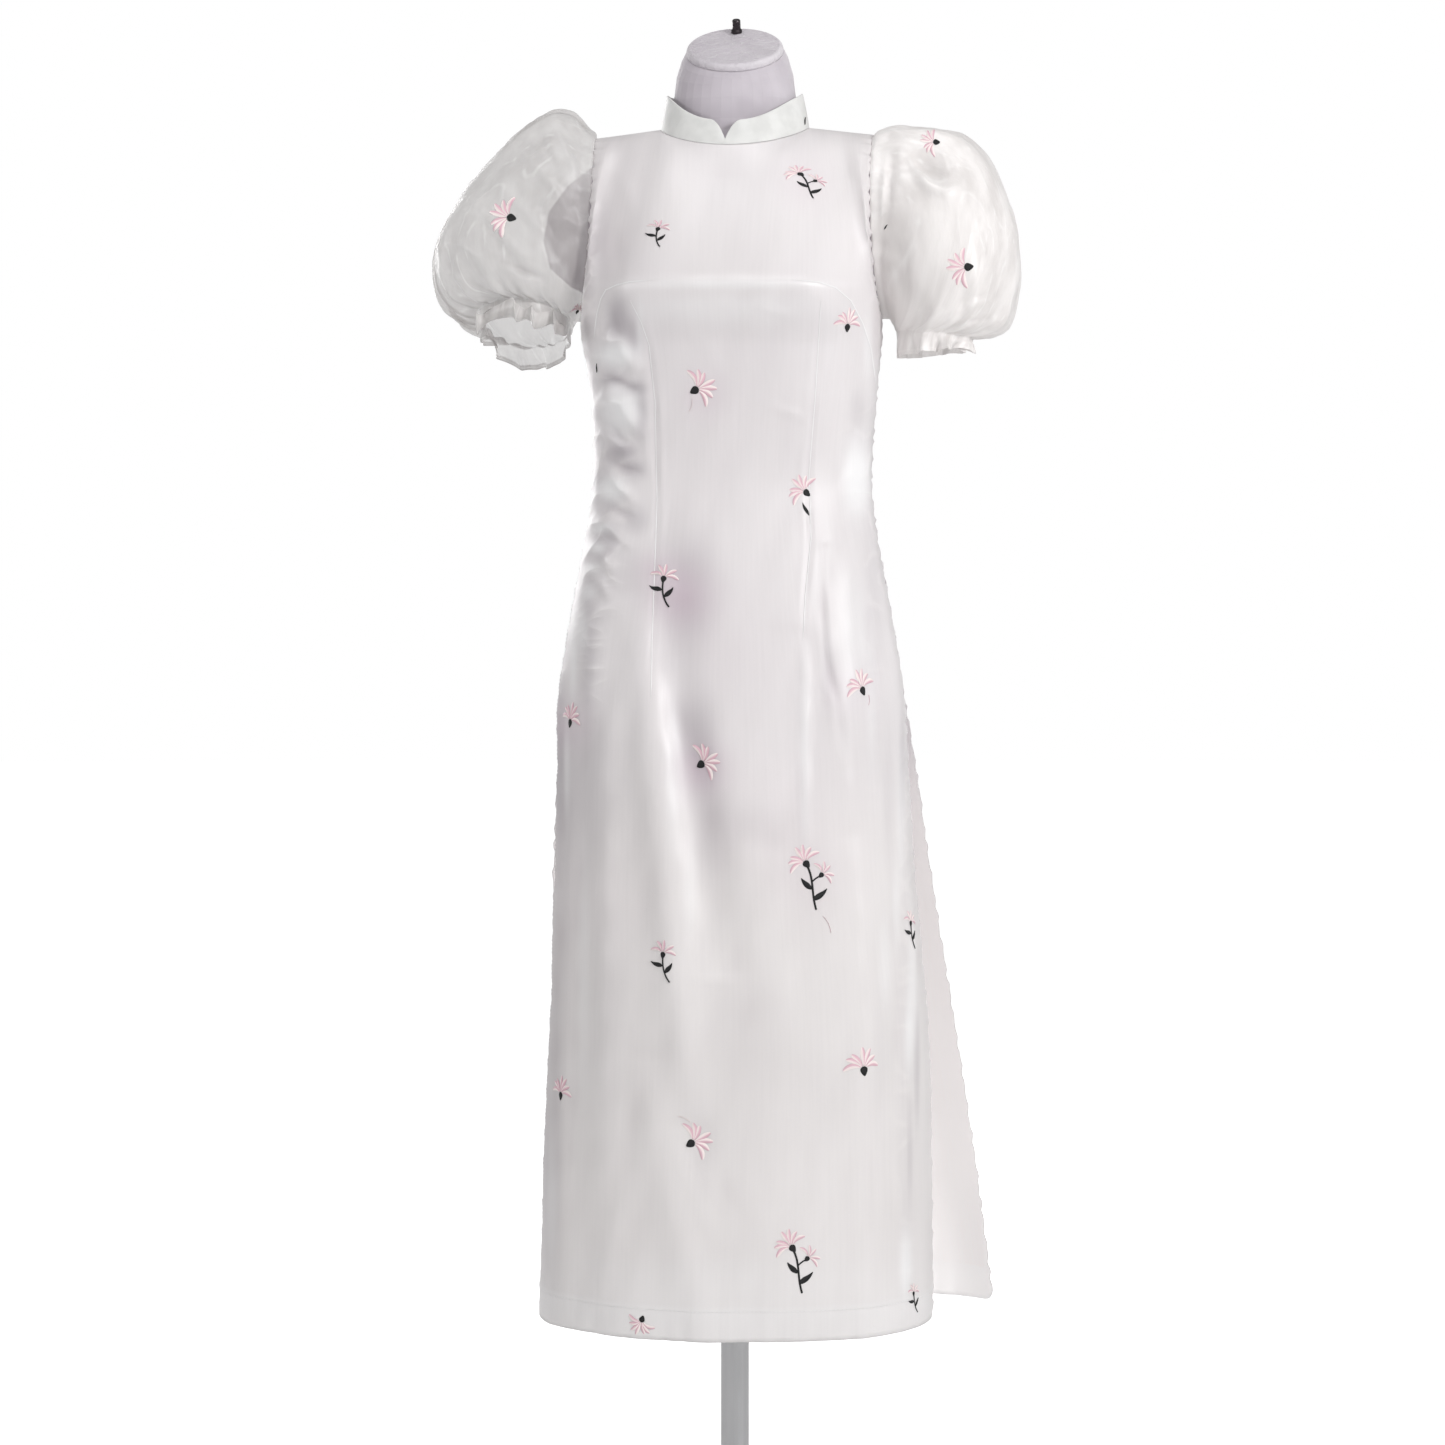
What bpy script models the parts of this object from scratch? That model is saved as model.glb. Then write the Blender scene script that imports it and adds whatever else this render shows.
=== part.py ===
# Ao dai tunic worn by a limbless dress form on a round stand.
# Metres, +Z up. The front faces -Y and the wearer's left hand is at +X.
# The origin is on the floor under the pole. The cloth is made of thin walls,
# each panel a grid of points on its worn shape, with a second grid inside it.

import math
from collections import namedtuple

import bmesh
import bpy
from mathutils import Vector

# Cloth and seams
BODY_CLOTH = 0.0016
SHEER_CLOTH = 0.0012
COLLAR_CLOTH = 0.0020
SEAM_GAP = 0.0003

# Heights of the tunic's stations
HEM_Z = 0.212
SLIT_TOP_Z = 0.965
CHEST_Z = 1.190
UNDERARM_RISE = 0.018
BUST_Z = 1.226

# Grid counts: half_columns from the centre line to a side seam,
# neck_columns of them end at the neckline and the rest at the shoulder seam
HALF_COLUMNS = 12
NECK_COLUMNS = 5
SKIRT_ROWS = 9
WAIST_ROWS = 7
CHEST_ROWS = 12

# Neckline and shoulder points of the wearer's left side
NECK_FRONT = Vector((0.0, -0.064, 1.372))
NECK_SIDE = Vector((0.0745, 0.0, 1.3995))
NECK_BACK = Vector((0.0, 0.060, 1.404))
SHOULDER_TIP = Vector((0.140, 0.002, 1.392))

# Bust: a level shelf of cloth from one cup to the other
BUST_RISE = 0.019
BUST_FLAT_X = 0.088
BUST_END_X = 0.140
BUST_ABOVE = 0.110
BUST_BELOW = 0.055

# Stand collar
COLLAR_HEIGHT = 0.034
COLLAR_FRONT_HEIGHT = 0.025
COLLAR_NOTCH_HEIGHT = 0.005
COLLAR_ROUND = 0.017
COLLAR_LEAN = 0.15
COLLAR_SPLIT = 0.0010
COLLAR_STEPS = 3
COLLAR_ROWS = 2

# Worn sections of the tunic, outer side of the cloth
Section = namedtuple("Section", "z half_width centre_x middle_y edge_y fullness")

FRONT_SECTIONS = (
    # z, half_width, centre_x, middle_y, edge_y, fullness
    Section(0.212, 0.1980, -0.0010, -0.1250, 0.0300, 2.30),
    Section(0.350, 0.1955, 0.0005, -0.1230, 0.0280, 2.30),
    Section(0.500, 0.1905, 0.0020, -0.1205, 0.0240, 2.30),
    Section(0.650, 0.1815, -0.0020, -0.1175, 0.0180, 2.30),
    Section(0.770, 0.1760, -0.0035, -0.1140, 0.0120, 2.30),
    Section(0.830, 0.1735, -0.0045, -0.1120, 0.0080, 2.30),
    Section(0.900, 0.1625, -0.0045, -0.1075, 0.0030, 2.30),
    Section(0.965, 0.1510, -0.0040, -0.1010, 0.0000, 2.30),
    Section(1.0385, 0.1400, -0.0030, -0.0920, 0.0000, 2.25),
    Section(1.130, 0.1425, -0.0010, -0.1000, 0.0000, 2.35),
    Section(1.190, 0.1500, -0.0030, -0.1050, 0.0000, 2.50),
    Section(1.240, 0.1500, -0.0025, -0.1050, 0.0000, 2.60),
)

BACK_SECTIONS = (
    # z, half_width, centre_x, middle_y, edge_y, fullness
    Section(0.212, 0.2225, 0.0365, 0.1500, 0.0900, 2.20),
    Section(0.350, 0.2140, 0.0280, 0.1460, 0.0800, 2.20),
    Section(0.500, 0.2030, 0.0165, 0.1400, 0.0660, 2.20),
    Section(0.650, 0.1920, 0.0040, 0.1340, 0.0500, 2.20),
    Section(0.770, 0.1800, -0.0010, 0.1270, 0.0300, 2.20),
    Section(0.830, 0.1735, -0.0045, 0.1200, 0.0170, 2.20),
    Section(0.900, 0.1625, -0.0045, 0.1090, 0.0070, 2.20),
    Section(0.965, 0.1510, -0.0040, 0.0960, 0.0000, 2.20),
    Section(1.0385, 0.1400, -0.0030, 0.0800, 0.0000, 2.20),
    Section(1.130, 0.1425, -0.0010, 0.0900, 0.0000, 2.30),
    Section(1.190, 0.1500, -0.0030, 0.0970, 0.0000, 2.40),
    Section(1.240, 0.1500, -0.0025, 0.0990, 0.0000, 2.45),
)

# Largest folds of the skirt flaps: a ridge has a positive rise, a trough a negative one
Fold = namedtuple("Fold", "top_z bottom_z top_x bottom_x width rise")

FRONT_FOLDS = (
    # top_z, bottom_z, top_x, bottom_x, width, rise
    Fold(0.930, 0.420, -0.090, -0.034, 0.020, 0.009),
    Fold(0.930, 0.560, -0.062, -0.004, 0.022, -0.009),
    Fold(0.800, 0.100, -0.150, -0.140, 0.022, -0.008),
    Fold(0.980, 0.700, 0.096, 0.125, 0.014, 0.004),
    Fold(0.900, 0.300, 0.060, 0.075, 0.024, -0.004),
    Fold(0.760, 0.100, 0.128, 0.138, 0.020, 0.006),
    Fold(0.480, 0.140, -0.080, -0.005, 0.022, 0.006),
)

BACK_FOLDS = (
    # top_z, bottom_z, top_x, bottom_x, width, rise
    Fold(0.900, 0.080, -0.070, -0.060, 0.026, 0.008),
    Fold(0.880, 0.080, -0.020, 0.000, 0.026, -0.008),
    Fold(0.900, 0.080, 0.050, 0.085, 0.028, 0.009),
    Fold(0.820, 0.080, 0.105, 0.165, 0.024, -0.008),
    Fold(0.820, 0.080, -0.125, -0.120, 0.022, -0.006),
)

# Puff sleeves: each ring is an oval between an outer and an inner point of the
# front view, half_depth deep to the front and to the back. front_rise lifts its
# front and lowers its back, follow keeps its underside to the armhole's outline,
# gather and ruffle are the heights of its waves.
Ring = namedtuple(
    "Ring", "outer_x outer_z inner_x inner_z half_depth front_rise follow gather ruffle"
)

RIGHT_SLEEVE = (
    # outer_x, outer_z, inner_x, inner_z, half_depth, front_rise, follow, gather, ruffle
    Ring(-0.1500, 1.4035, -0.1575, 1.2088, 0.0630, 0.000, 0.88, 0.0014, 0.0),
    Ring(-0.1650, 1.4165, -0.1590, 1.2088, 0.0700, 0.000, 0.70, 0.0018, 0.0),
    Ring(-0.1860, 1.4175, -0.1600, 1.2085, 0.0760, 0.002, 0.45, 0.0014, 0.0),
    Ring(-0.2150, 1.3985, -0.1606, 1.2082, 0.0810, 0.004, 0.22, 0.0008, 0.0),
    Ring(-0.2470, 1.3665, -0.1612, 1.2079, 0.0840, 0.006, 0.08, 0.0, 0.0),
    Ring(-0.2780, 1.3300, -0.1618, 1.2076, 0.0840, 0.009, 0.0, 0.0, 0.0),
    Ring(-0.2980, 1.2920, -0.1624, 1.2073, 0.0820, 0.012, 0.0, 0.0, 0.0),
    Ring(-0.3030, 1.2540, -0.1630, 1.2070, 0.0770, 0.015, 0.0, 0.0008, 0.0),
    Ring(-0.2920, 1.2250, -0.1636, 1.2066, 0.0690, 0.017, 0.0, 0.0016, 0.0),
    Ring(-0.2730, 1.2125, -0.1642, 1.2058, 0.0590, 0.018, 0.0, 0.0022, 0.0),
    Ring(-0.2560, 1.2090, -0.1650, 1.2045, 0.0490, 0.018, 0.0, 0.0018, 0.0),
    Ring(-0.2530, 1.2000, -0.1670, 1.1970, 0.0540, 0.018, 0.0, 0.0010, 0.0018),
    Ring(-0.2510, 1.1905, -0.1690, 1.1880, 0.0610, 0.019, 0.0, 0.0, 0.0042),
)

LEFT_SLEEVE = (
    # outer_x, outer_z, inner_x, inner_z, half_depth, front_rise, follow, gather, ruffle
    Ring(0.1550, 1.3995, 0.1530, 1.2075, 0.0630, 0.000, 0.88, 0.0014, 0.0),
    Ring(0.1750, 1.4000, 0.1545, 1.2068, 0.0690, 0.000, 0.70, 0.0018, 0.0),
    Ring(0.2050, 1.3970, 0.1552, 1.2060, 0.0740, -0.001, 0.45, 0.0014, 0.0),
    Ring(0.2340, 1.3860, 0.1558, 1.2052, 0.0790, -0.002, 0.22, 0.0008, 0.0),
    Ring(0.2570, 1.3600, 0.1564, 1.2044, 0.0810, -0.003, 0.08, 0.0, 0.0),
    Ring(0.2730, 1.3230, 0.1570, 1.2036, 0.0810, -0.004, 0.0, 0.0, 0.0),
    Ring(0.2830, 1.2820, 0.1576, 1.2028, 0.0790, -0.004, 0.0, 0.0, 0.0),
    Ring(0.2840, 1.2400, 0.1582, 1.2020, 0.0740, -0.004, 0.0, 0.0008, 0.0),
    Ring(0.2750, 1.2030, 0.1588, 1.2010, 0.0670, -0.004, 0.0, 0.0016, 0.0),
    Ring(0.2570, 1.1870, 0.1596, 1.1995, 0.0580, -0.004, 0.0, 0.0022, 0.0),
    Ring(0.2370, 1.1840, 0.1606, 1.1970, 0.0490, -0.004, 0.0, 0.0018, 0.0),
    Ring(0.2390, 1.1760, 0.1615, 1.1870, 0.0520, -0.004, 0.0, 0.0010, 0.0018),
    Ring(0.2410, 1.1680, 0.1620, 1.1750, 0.0570, -0.004, 0.0, 0.0, 0.0042),
)

SLEEVE_STEPS = 2
GATHER_WAVES = 12
RUFFLE_WAVES = 8

# Dents of the puffs, pushed towards the sleeve's middle
Dent = namedtuple("Dent", "x y z radius depth")

LEFT_DENTS = (
    # x, y, z, radius, depth
    Dent(0.198, -0.060, 1.352, 0.034, 0.013),
    Dent(0.190, 0.062, 1.340, 0.030, 0.009),
)

RIGHT_DENTS = (
    # x, y, z, radius, depth
    Dent(-0.200, -0.072, 1.300, 0.036, 0.007),
    Dent(-0.225, 0.070, 1.320, 0.034, 0.008),
)

# Dress form: horizontal sections; reach is how far the shoulder end stands out,
# slant tips the section up towards the back
FormRing = namedtuple("FormRing", "z half_width front_y back_y fullness reach slant")

FORM_RINGS = (
    # z, half_width, front_y, back_y, fullness, reach, slant
    FormRing(0.742, 0.1500, -0.0820, 0.0880, 2.2, 0.0, 0.0),
    FormRing(0.750, 0.1560, -0.0900, 0.0980, 2.2, 0.0, 0.0),
    FormRing(0.775, 0.1610, -0.0960, 0.1060, 2.2, 0.0, 0.0),
    FormRing(0.830, 0.1610, -0.0980, 0.1080, 2.2, 0.0, 0.0),
    FormRing(0.890, 0.1530, -0.0960, 0.1000, 2.2, 0.0, 0.0),
    FormRing(0.960, 0.1380, -0.0900, 0.0840, 2.2, 0.0, 0.0),
    FormRing(1.038, 0.1240, -0.0800, 0.0690, 2.1, 0.0, 0.0),
    FormRing(1.100, 0.1270, -0.0860, 0.0760, 2.2, 0.0, 0.0),
    FormRing(1.160, 0.1360, -0.0940, 0.0870, 2.3, 0.0, 0.0),
    FormRing(1.205, 0.1400, -0.0980, 0.0900, 2.3, 0.0, 0.0),
    FormRing(1.230, 0.1360, -0.0985, 0.0900, 2.2, 0.138, 0.0),
    FormRing(1.243, 0.1345, -0.0980, 0.0890, 2.2, 0.165, 0.0),
    FormRing(1.262, 0.1330, -0.0955, 0.0880, 2.2, 0.186, 0.0),
    FormRing(1.290, 0.1300, -0.0900, 0.0860, 2.2, 0.193, 0.0),
    FormRing(1.320, 0.1240, -0.0810, 0.0810, 2.1, 0.187, 0.0),
    FormRing(1.345, 0.1150, -0.0700, 0.0740, 2.1, 0.168, 0.0),
    FormRing(1.364, 0.1010, -0.0600, 0.0650, 2.1, 0.143, 0.0),
    FormRing(1.378, 0.0850, -0.0530, 0.0560, 2.1, 0.112, 0.0),
    FormRing(1.390, 0.0690, -0.0490, 0.0490, 2.0, 0.076, 0.0),
    FormRing(1.402, 0.0625, -0.0480, 0.0470, 2.0, 0.0, 0.02),
    FormRing(1.428, 0.0612, -0.0490, 0.0490, 2.0, 0.0, 0.12),
    FormRing(1.452, 0.0585, -0.0480, 0.0480, 2.0, 0.0, 0.38),
    FormRing(1.468, 0.0535, -0.0470, 0.0470, 2.0, 0.0, 0.58),
    FormRing(1.476, 0.0490, -0.0450, 0.0450, 2.0, 0.0, 0.65),
)

FORM_SEGMENTS = 36
FORM_CUP_RISE = 0.0225
FORM_CUP_X = 0.080
FORM_CUP_WIDTH = 0.040
FORM_CUP_HEIGHT = 0.040
SHOULDER_END_SHARPNESS = 16

# Neck cap, knob, pole and base
CAP_TILT = math.atan(0.65)
CAP_HALF_WIDTH = 0.0490
CAP_HALF_LENGTH = 0.0535
CAP_THICKNESS = 0.0070
CAP_PLANE_Z = 1.476
KNOB_RADIUS = 0.0042
KNOB_HEIGHT = 0.0130
KNOB_Y = 0.036
POLE_RADIUS = 0.0140
BASE_RADIUS = 0.170
BASE_THICKNESS = 0.010
HUB_RADIUS = 0.024
HUB_HEIGHT = 0.040
FORM_BOTTOM_Z = FORM_RINGS[0].z


def clear_scene():
    for thing in list(bpy.data.objects):
        bpy.data.objects.remove(thing, do_unlink=True)


def make_material(name, colour, roughness, metallic=0.0):
    material = bpy.data.materials.new(name)
    material.use_nodes = True
    shader = material.node_tree.nodes["Principled BSDF"]
    shader.inputs["Base Color"].default_value = (*colour, 1.0)
    shader.inputs["Roughness"].default_value = roughness
    shader.inputs["Metallic"].default_value = metallic
    return material


def smoothstep(low, high, value):
    share = min(max((value - low) / (high - low), 0.0), 1.0)
    return share * share * (3.0 - 2.0 * share)


def mix(first, second, share):
    return first * (1.0 - share) + second * share


def signed_power(value, power):
    return math.copysign(abs(value) ** power, value)


# A table read at any height, with a smooth cubic through its rows
def read_table(table, z):
    z = min(max(z, table[0].z), table[-1].z)
    last = len(table) - 2
    index = 0
    while index < last and z > table[index + 1].z:
        index += 1
    before = table[max(index - 1, 0)]
    low = table[index]
    high = table[index + 1]
    after = table[min(index + 2, len(table) - 1)]
    span = high.z - low.z
    t = (z - low.z) / span
    values = []
    for a, b, c, d in zip(before, low, high, after):
        slope_low = (c - a) / max(high.z - before.z, 1e-9) * span
        slope_high = (d - b) / max(after.z - low.z, 1e-9) * span
        values.append(cubic(b, slope_low, c, slope_high, t))
    return type(low)(*values)


def cubic(start, start_slope, end, end_slope, t):
    return (
        start * (2 * t**3 - 3 * t**2 + 1)
        + start_slope * (t**3 - 2 * t**2 + t)
        + end * (-2 * t**3 + 3 * t**2)
        + end_slope * (t**3 - t**2)
    )


# Point of a section at an even share of the way round, -1 to 1 from seam to seam
def section_point(section, share, steps=40):
    power = 2.0 / section.fullness
    edge_y = section.edge_y if section.z < SLIT_TOP_Z else 0.0
    depth = section.middle_y - edge_y
    path = []
    for step in range(steps + 1):
        angle = 0.5 * math.pi * step / steps
        across = section.half_width * math.sin(angle) ** power
        along = edge_y + depth * max(math.cos(angle), 0.0) ** power
        path.append((across, along))
    lengths = [0.0]
    for first, second in zip(path, path[1:]):
        lengths.append(lengths[-1] + math.dist(first, second))
    wanted = abs(share) * lengths[-1]
    index = 0
    while index < steps - 1 and lengths[index + 1] < wanted:
        index += 1
    part = (wanted - lengths[index]) / (lengths[index + 1] - lengths[index])
    across = mix(path[index][0], path[index + 1][0], part)
    along = mix(path[index][1], path[index + 1][1], part)
    return section.centre_x + math.copysign(across, share), along


def fold_offset(folds, x, z):
    offset = 0.0
    for fold in folds:
        share = (fold.top_z - z) / (fold.top_z - fold.bottom_z)
        if 0.0 < share < 1.0:
            middle = mix(fold.top_x, fold.bottom_x, share)
            fade = math.sin(math.pi * share) ** 0.5
            offset += fold.rise * fade * math.exp(-(((x - middle) / fold.width) ** 2))
    return offset


def bust_offset(x, z):
    side = 1.0 - smoothstep(BUST_FLAT_X, BUST_END_X, abs(x))
    if z >= BUST_Z:
        height = max(1.0 - (z - BUST_Z) / BUST_ABOVE, 0.0) ** 1.3
    else:
        height = 1.0 - smoothstep(0.0, BUST_BELOW, BUST_Z - z)
    return BUST_RISE * side * height


# One face of the tunic: facing is -1 for the front and 1 for the back
class Face:
    def __init__(self, facing, sections, folds, neck_middle, neck_slope):
        self.facing = facing
        self.sections = sections
        self.folds = folds
        self.neck_middle = neck_middle
        self.neck_slope = neck_slope

    def body_point(self, share, z):
        section = read_table(self.sections, z)
        x, y = section_point(section, share)
        return Vector((x, y, z))

    def chest_z(self, share):
        return CHEST_Z + UNDERARM_RISE * smoothstep(0.5, 1.0, abs(share))

    def hem_z(self, share):
        return HEM_Z + 0.012 * smoothstep(0.90, 1.0, abs(share)) ** 2

    # Neckline from the middle to the neck side, then the shoulder seam
    def top_point(self, share):
        side = math.copysign(1.0, share)
        neck_share = NECK_COLUMNS / HALF_COLUMNS
        if abs(share) <= neck_share:
            angle = 0.5 * math.pi * abs(share) / neck_share
            x = NECK_SIDE.x * math.sin(angle)
            y = mix(NECK_SIDE.y, self.neck_middle.y, math.cos(angle))
            z = mix(NECK_SIDE.z, self.neck_middle.z, math.cos(angle) ** 1.3)
            return Vector((x * side, y, z))
        along = (abs(share) - neck_share) / (1.0 - neck_share)
        point = mix(NECK_SIDE, SHOULDER_TIP, along)
        return Vector((point.x * side, point.y, point.z))

    def chest_point(self, share, rise):
        side = math.copysign(1.0, share)
        start_z = self.chest_z(share)
        start = self.body_point(share, start_z)
        below = self.body_point(share, start_z - 0.01)
        end = self.top_point(share)
        length = (end - start).length
        armhole = smoothstep(0.6, 1.0, abs(share))
        neck_share = NECK_COLUMNS / HALF_COLUMNS
        shoulder = smoothstep(0.0, neck_share, abs(share))
        upward = (start - below).normalized()
        round_arm = Vector((-0.16 * side, 0.90 * self.facing, 0.43))
        leave = mix(upward, round_arm, armhole).normalized()
        over_neck = Vector((0.0, -self.neck_slope * self.facing, 0.9))
        over_shoulder = Vector((0.06 * side * armhole, -1.0 * self.facing, 0.14))
        arrive = mix(over_neck, over_shoulder, shoulder).normalized()
        pull = length * (1.0 + 0.4 * armhole)
        return cubic(start, leave * pull, end, arrive * pull, rise)

    # Rows run from the hem to the shoulder, shares are the columns
    def outer_grid(self, shares):
        grid = []
        for row in range(SKIRT_ROWS):
            share_up = row / SKIRT_ROWS
            grid.append([
                self.body_point(s, mix(self.hem_z(s), SLIT_TOP_Z, share_up)) for s in shares
            ])
        for row in range(WAIST_ROWS):
            share_up = row / WAIST_ROWS
            grid.append([
                self.body_point(s, mix(SLIT_TOP_Z, self.chest_z(s), share_up)) for s in shares
            ])
        for row in range(CHEST_ROWS + 1):
            grid.append([self.chest_point(s, row / CHEST_ROWS) for s in shares])
        for line in grid:
            for point in line:
                point.y += self.facing * fold_offset(self.folds, point.x, point.z)
                if self.facing < 0:
                    point.y -= bust_offset(point.x, point.z)
                point.y += self.facing * SEAM_GAP / 2
        return grid


def grid_normals(grid, closed, facing_point):
    rows = len(grid)
    columns = len(grid[0])
    normals = []
    for row in range(rows):
        line = []
        for column in range(columns):
            if closed:
                left = grid[row][(column - 1) % columns]
                right = grid[row][(column + 1) % columns]
            else:
                left = grid[row][max(column - 1, 0)]
                right = grid[row][min(column + 1, columns - 1)]
            lower = grid[max(row - 1, 0)][column]
            upper = grid[min(row + 1, rows - 1)][column]
            line.append((right - left).cross(upper - lower).normalized())
        normals.append(line)
    middle = grid[rows // 2][columns // 2]
    if normals[rows // 2][columns // 2].dot(middle - facing_point) < 0.0:
        normals = [[-normal for normal in line] for line in normals]
    return normals


# Normals at a seam lie in the seam's plane, so both sides' walls meet evenly
def flatten(normal, axis):
    flat = normal.copy()
    flat[axis] = 0.0
    return flat.normalized()


def panel_grids(face, shares):
    outer = face.outer_grid(shares)
    normals = grid_normals(outer, False, Vector((0.0, 0.0, 1.0)))
    underarm_row = SKIRT_ROWS + WAIST_ROWS
    last = len(shares) - 1
    for row, line in enumerate(normals):
        for column in (0, last):
            if abs(shares[column]) == 1.0 and row <= underarm_row:
                line[column] = flatten(line[column], 1)
            elif shares[column] == 0.0:
                line[column] = flatten(line[column], 0)
    for column, share in enumerate(shares):
        if abs(share) * HALF_COLUMNS >= NECK_COLUMNS - 1e-6:
            normals[-1][column] = flatten(normals[-1][column], 1)
    inner = [
        [point - normal * BODY_CLOTH for point, normal in zip(line, across)]
        for line, across in zip(outer, normals)
    ]
    return outer, inner


def link_mesh(name, bm, material, smooth=True):
    bmesh.ops.recalc_face_normals(bm, faces=bm.faces)
    mesh = bpy.data.meshes.new(name)
    bm.to_mesh(mesh)
    bm.free()
    mesh.materials.append(material)
    if smooth:
        mesh.shade_smooth()
        mesh.set_sharp_from_angle(angle=math.radians(50))
    thing = bpy.data.objects.new(name, mesh)
    bpy.context.scene.collection.objects.link(thing)
    return thing


# A closed wall between two grids of the same size
def wall_object(name, outer, inner, material, closed=False):
    bm = bmesh.new()
    rows = len(outer)
    columns = len(outer[0])
    outside = [[bm.verts.new(point) for point in line] for line in outer]
    inside = [[bm.verts.new(point) for point in line] for line in inner]
    spans = columns if closed else columns - 1
    for row in range(rows - 1):
        for column in range(spans):
            after = (column + 1) % columns
            for sheet in (outside, inside):
                bm.faces.new((
                    sheet[row][column],
                    sheet[row][after],
                    sheet[row + 1][after],
                    sheet[row + 1][column],
                ))
    for row in (0, rows - 1):
        for column in range(spans):
            after = (column + 1) % columns
            bm.faces.new((
                outside[row][column],
                outside[row][after],
                inside[row][after],
                inside[row][column],
            ))
    if not closed:
        for column in (0, columns - 1):
            for row in range(rows - 1):
                bm.faces.new((
                    outside[row][column],
                    outside[row + 1][column],
                    inside[row + 1][column],
                    inside[row][column],
                ))
    return link_mesh(name, bm, material)


# The armhole's rim from the shoulder tip down the front and up the back
def armhole_rim(front_grid, back_grid, front_column, back_column):
    first = SKIRT_ROWS + WAIST_ROWS
    top = first + CHEST_ROWS
    rim = [(front_grid[top][front_column] + back_grid[top][back_column]) / 2]
    for row in range(top - 1, first, -1):
        rim.append(front_grid[row][front_column])
    rim.append((front_grid[first][front_column] + back_grid[first][back_column]) / 2)
    for row in range(first + 1, top):
        rim.append(back_grid[row][back_column])
    return rim


def subdivide_loop(loop, steps):
    points = []
    for index, point in enumerate(loop):
        following = loop[(index + 1) % len(loop)]
        for step in range(steps):
            points.append(mix(point, following, step / steps))
    return points


def sleeve_object(name, side, rings, dents, outer_rim, inner_rim, material):
    start = []
    away = []
    count = len(outer_rim)
    for index in range(count):
        tangent = outer_rim[(index + 1) % count] - outer_rim[index - 1]
        through = outer_rim[index] - inner_rim[index]
        away.append(tangent.cross(through).normalized() * -side)
        start.append(outer_rim[index] + away[index] * SEAM_GAP)
    start = subdivide_loop(start, SLEEVE_STEPS)
    away = subdivide_loop(away, SLEEVE_STEPS)
    columns = len(start)
    seam_bottom = start[columns // 2]
    grid = [start]
    for number, ring in enumerate(rings):
        outer = Vector((ring.outer_x, 0.0, ring.outer_z))
        inner = Vector((ring.inner_x, 0.0, ring.inner_z))
        middle = (outer + inner) / 2
        reach = (outer - inner) / 2
        depth = Vector((0.0, -ring.half_depth, ring.front_rise))
        line = []
        for column in range(columns):
            angle = 2.0 * math.pi * column / columns
            spoke = reach * math.cos(angle) + depth * math.sin(angle)
            free = 0.5 + 0.5 * math.cos(angle)
            if ring.ruffle > 0.0:
                free = 0.3 + 0.7 * free
            wave = ring.gather * math.cos(GATHER_WAVES * angle) * free
            wave += ring.ruffle * math.cos(RUFFLE_WAVES * angle + 0.6) * free
            point = middle + spoke + spoke.normalized() * wave
            beside = start[column] + Vector((ring.inner_x - seam_bottom.x, 0.0, 0.0))
            under = ring.follow * (0.5 - 0.5 * math.cos(angle)) ** 0.7
            point = mix(point, beside, under)
            for dent in dents:
                distance = (point - Vector((dent.x, dent.y, dent.z))).length
                push = dent.depth * math.exp(-((distance / dent.radius) ** 2))
                point -= spoke.normalized() * push
            line.append(point)
        grid.append(line)
    middle = sum(grid[6], Vector()) / columns
    normals = grid_normals(grid, True, middle)
    for column in range(columns):
        over_panel = max(normals[0][column].dot(away[column]), 0.0)
        normals[0][column] = (normals[0][column] - away[column] * over_panel).normalized()
    inside = [
        [point - normal * SHEER_CLOTH for point, normal in zip(line, across)]
        for line, across in zip(grid, normals)
    ]
    return wall_object(name, grid, inside, material, closed=True)


def collar_height(distance):
    if distance < COLLAR_ROUND:
        share = 1.0 - (1.0 - distance / COLLAR_ROUND) ** 2
        return mix(COLLAR_NOTCH_HEIGHT, COLLAR_FRONT_HEIGHT, math.sqrt(share))
    share = smoothstep(COLLAR_ROUND, 0.085, distance)
    return mix(COLLAR_FRONT_HEIGHT, COLLAR_HEIGHT, share)


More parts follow.
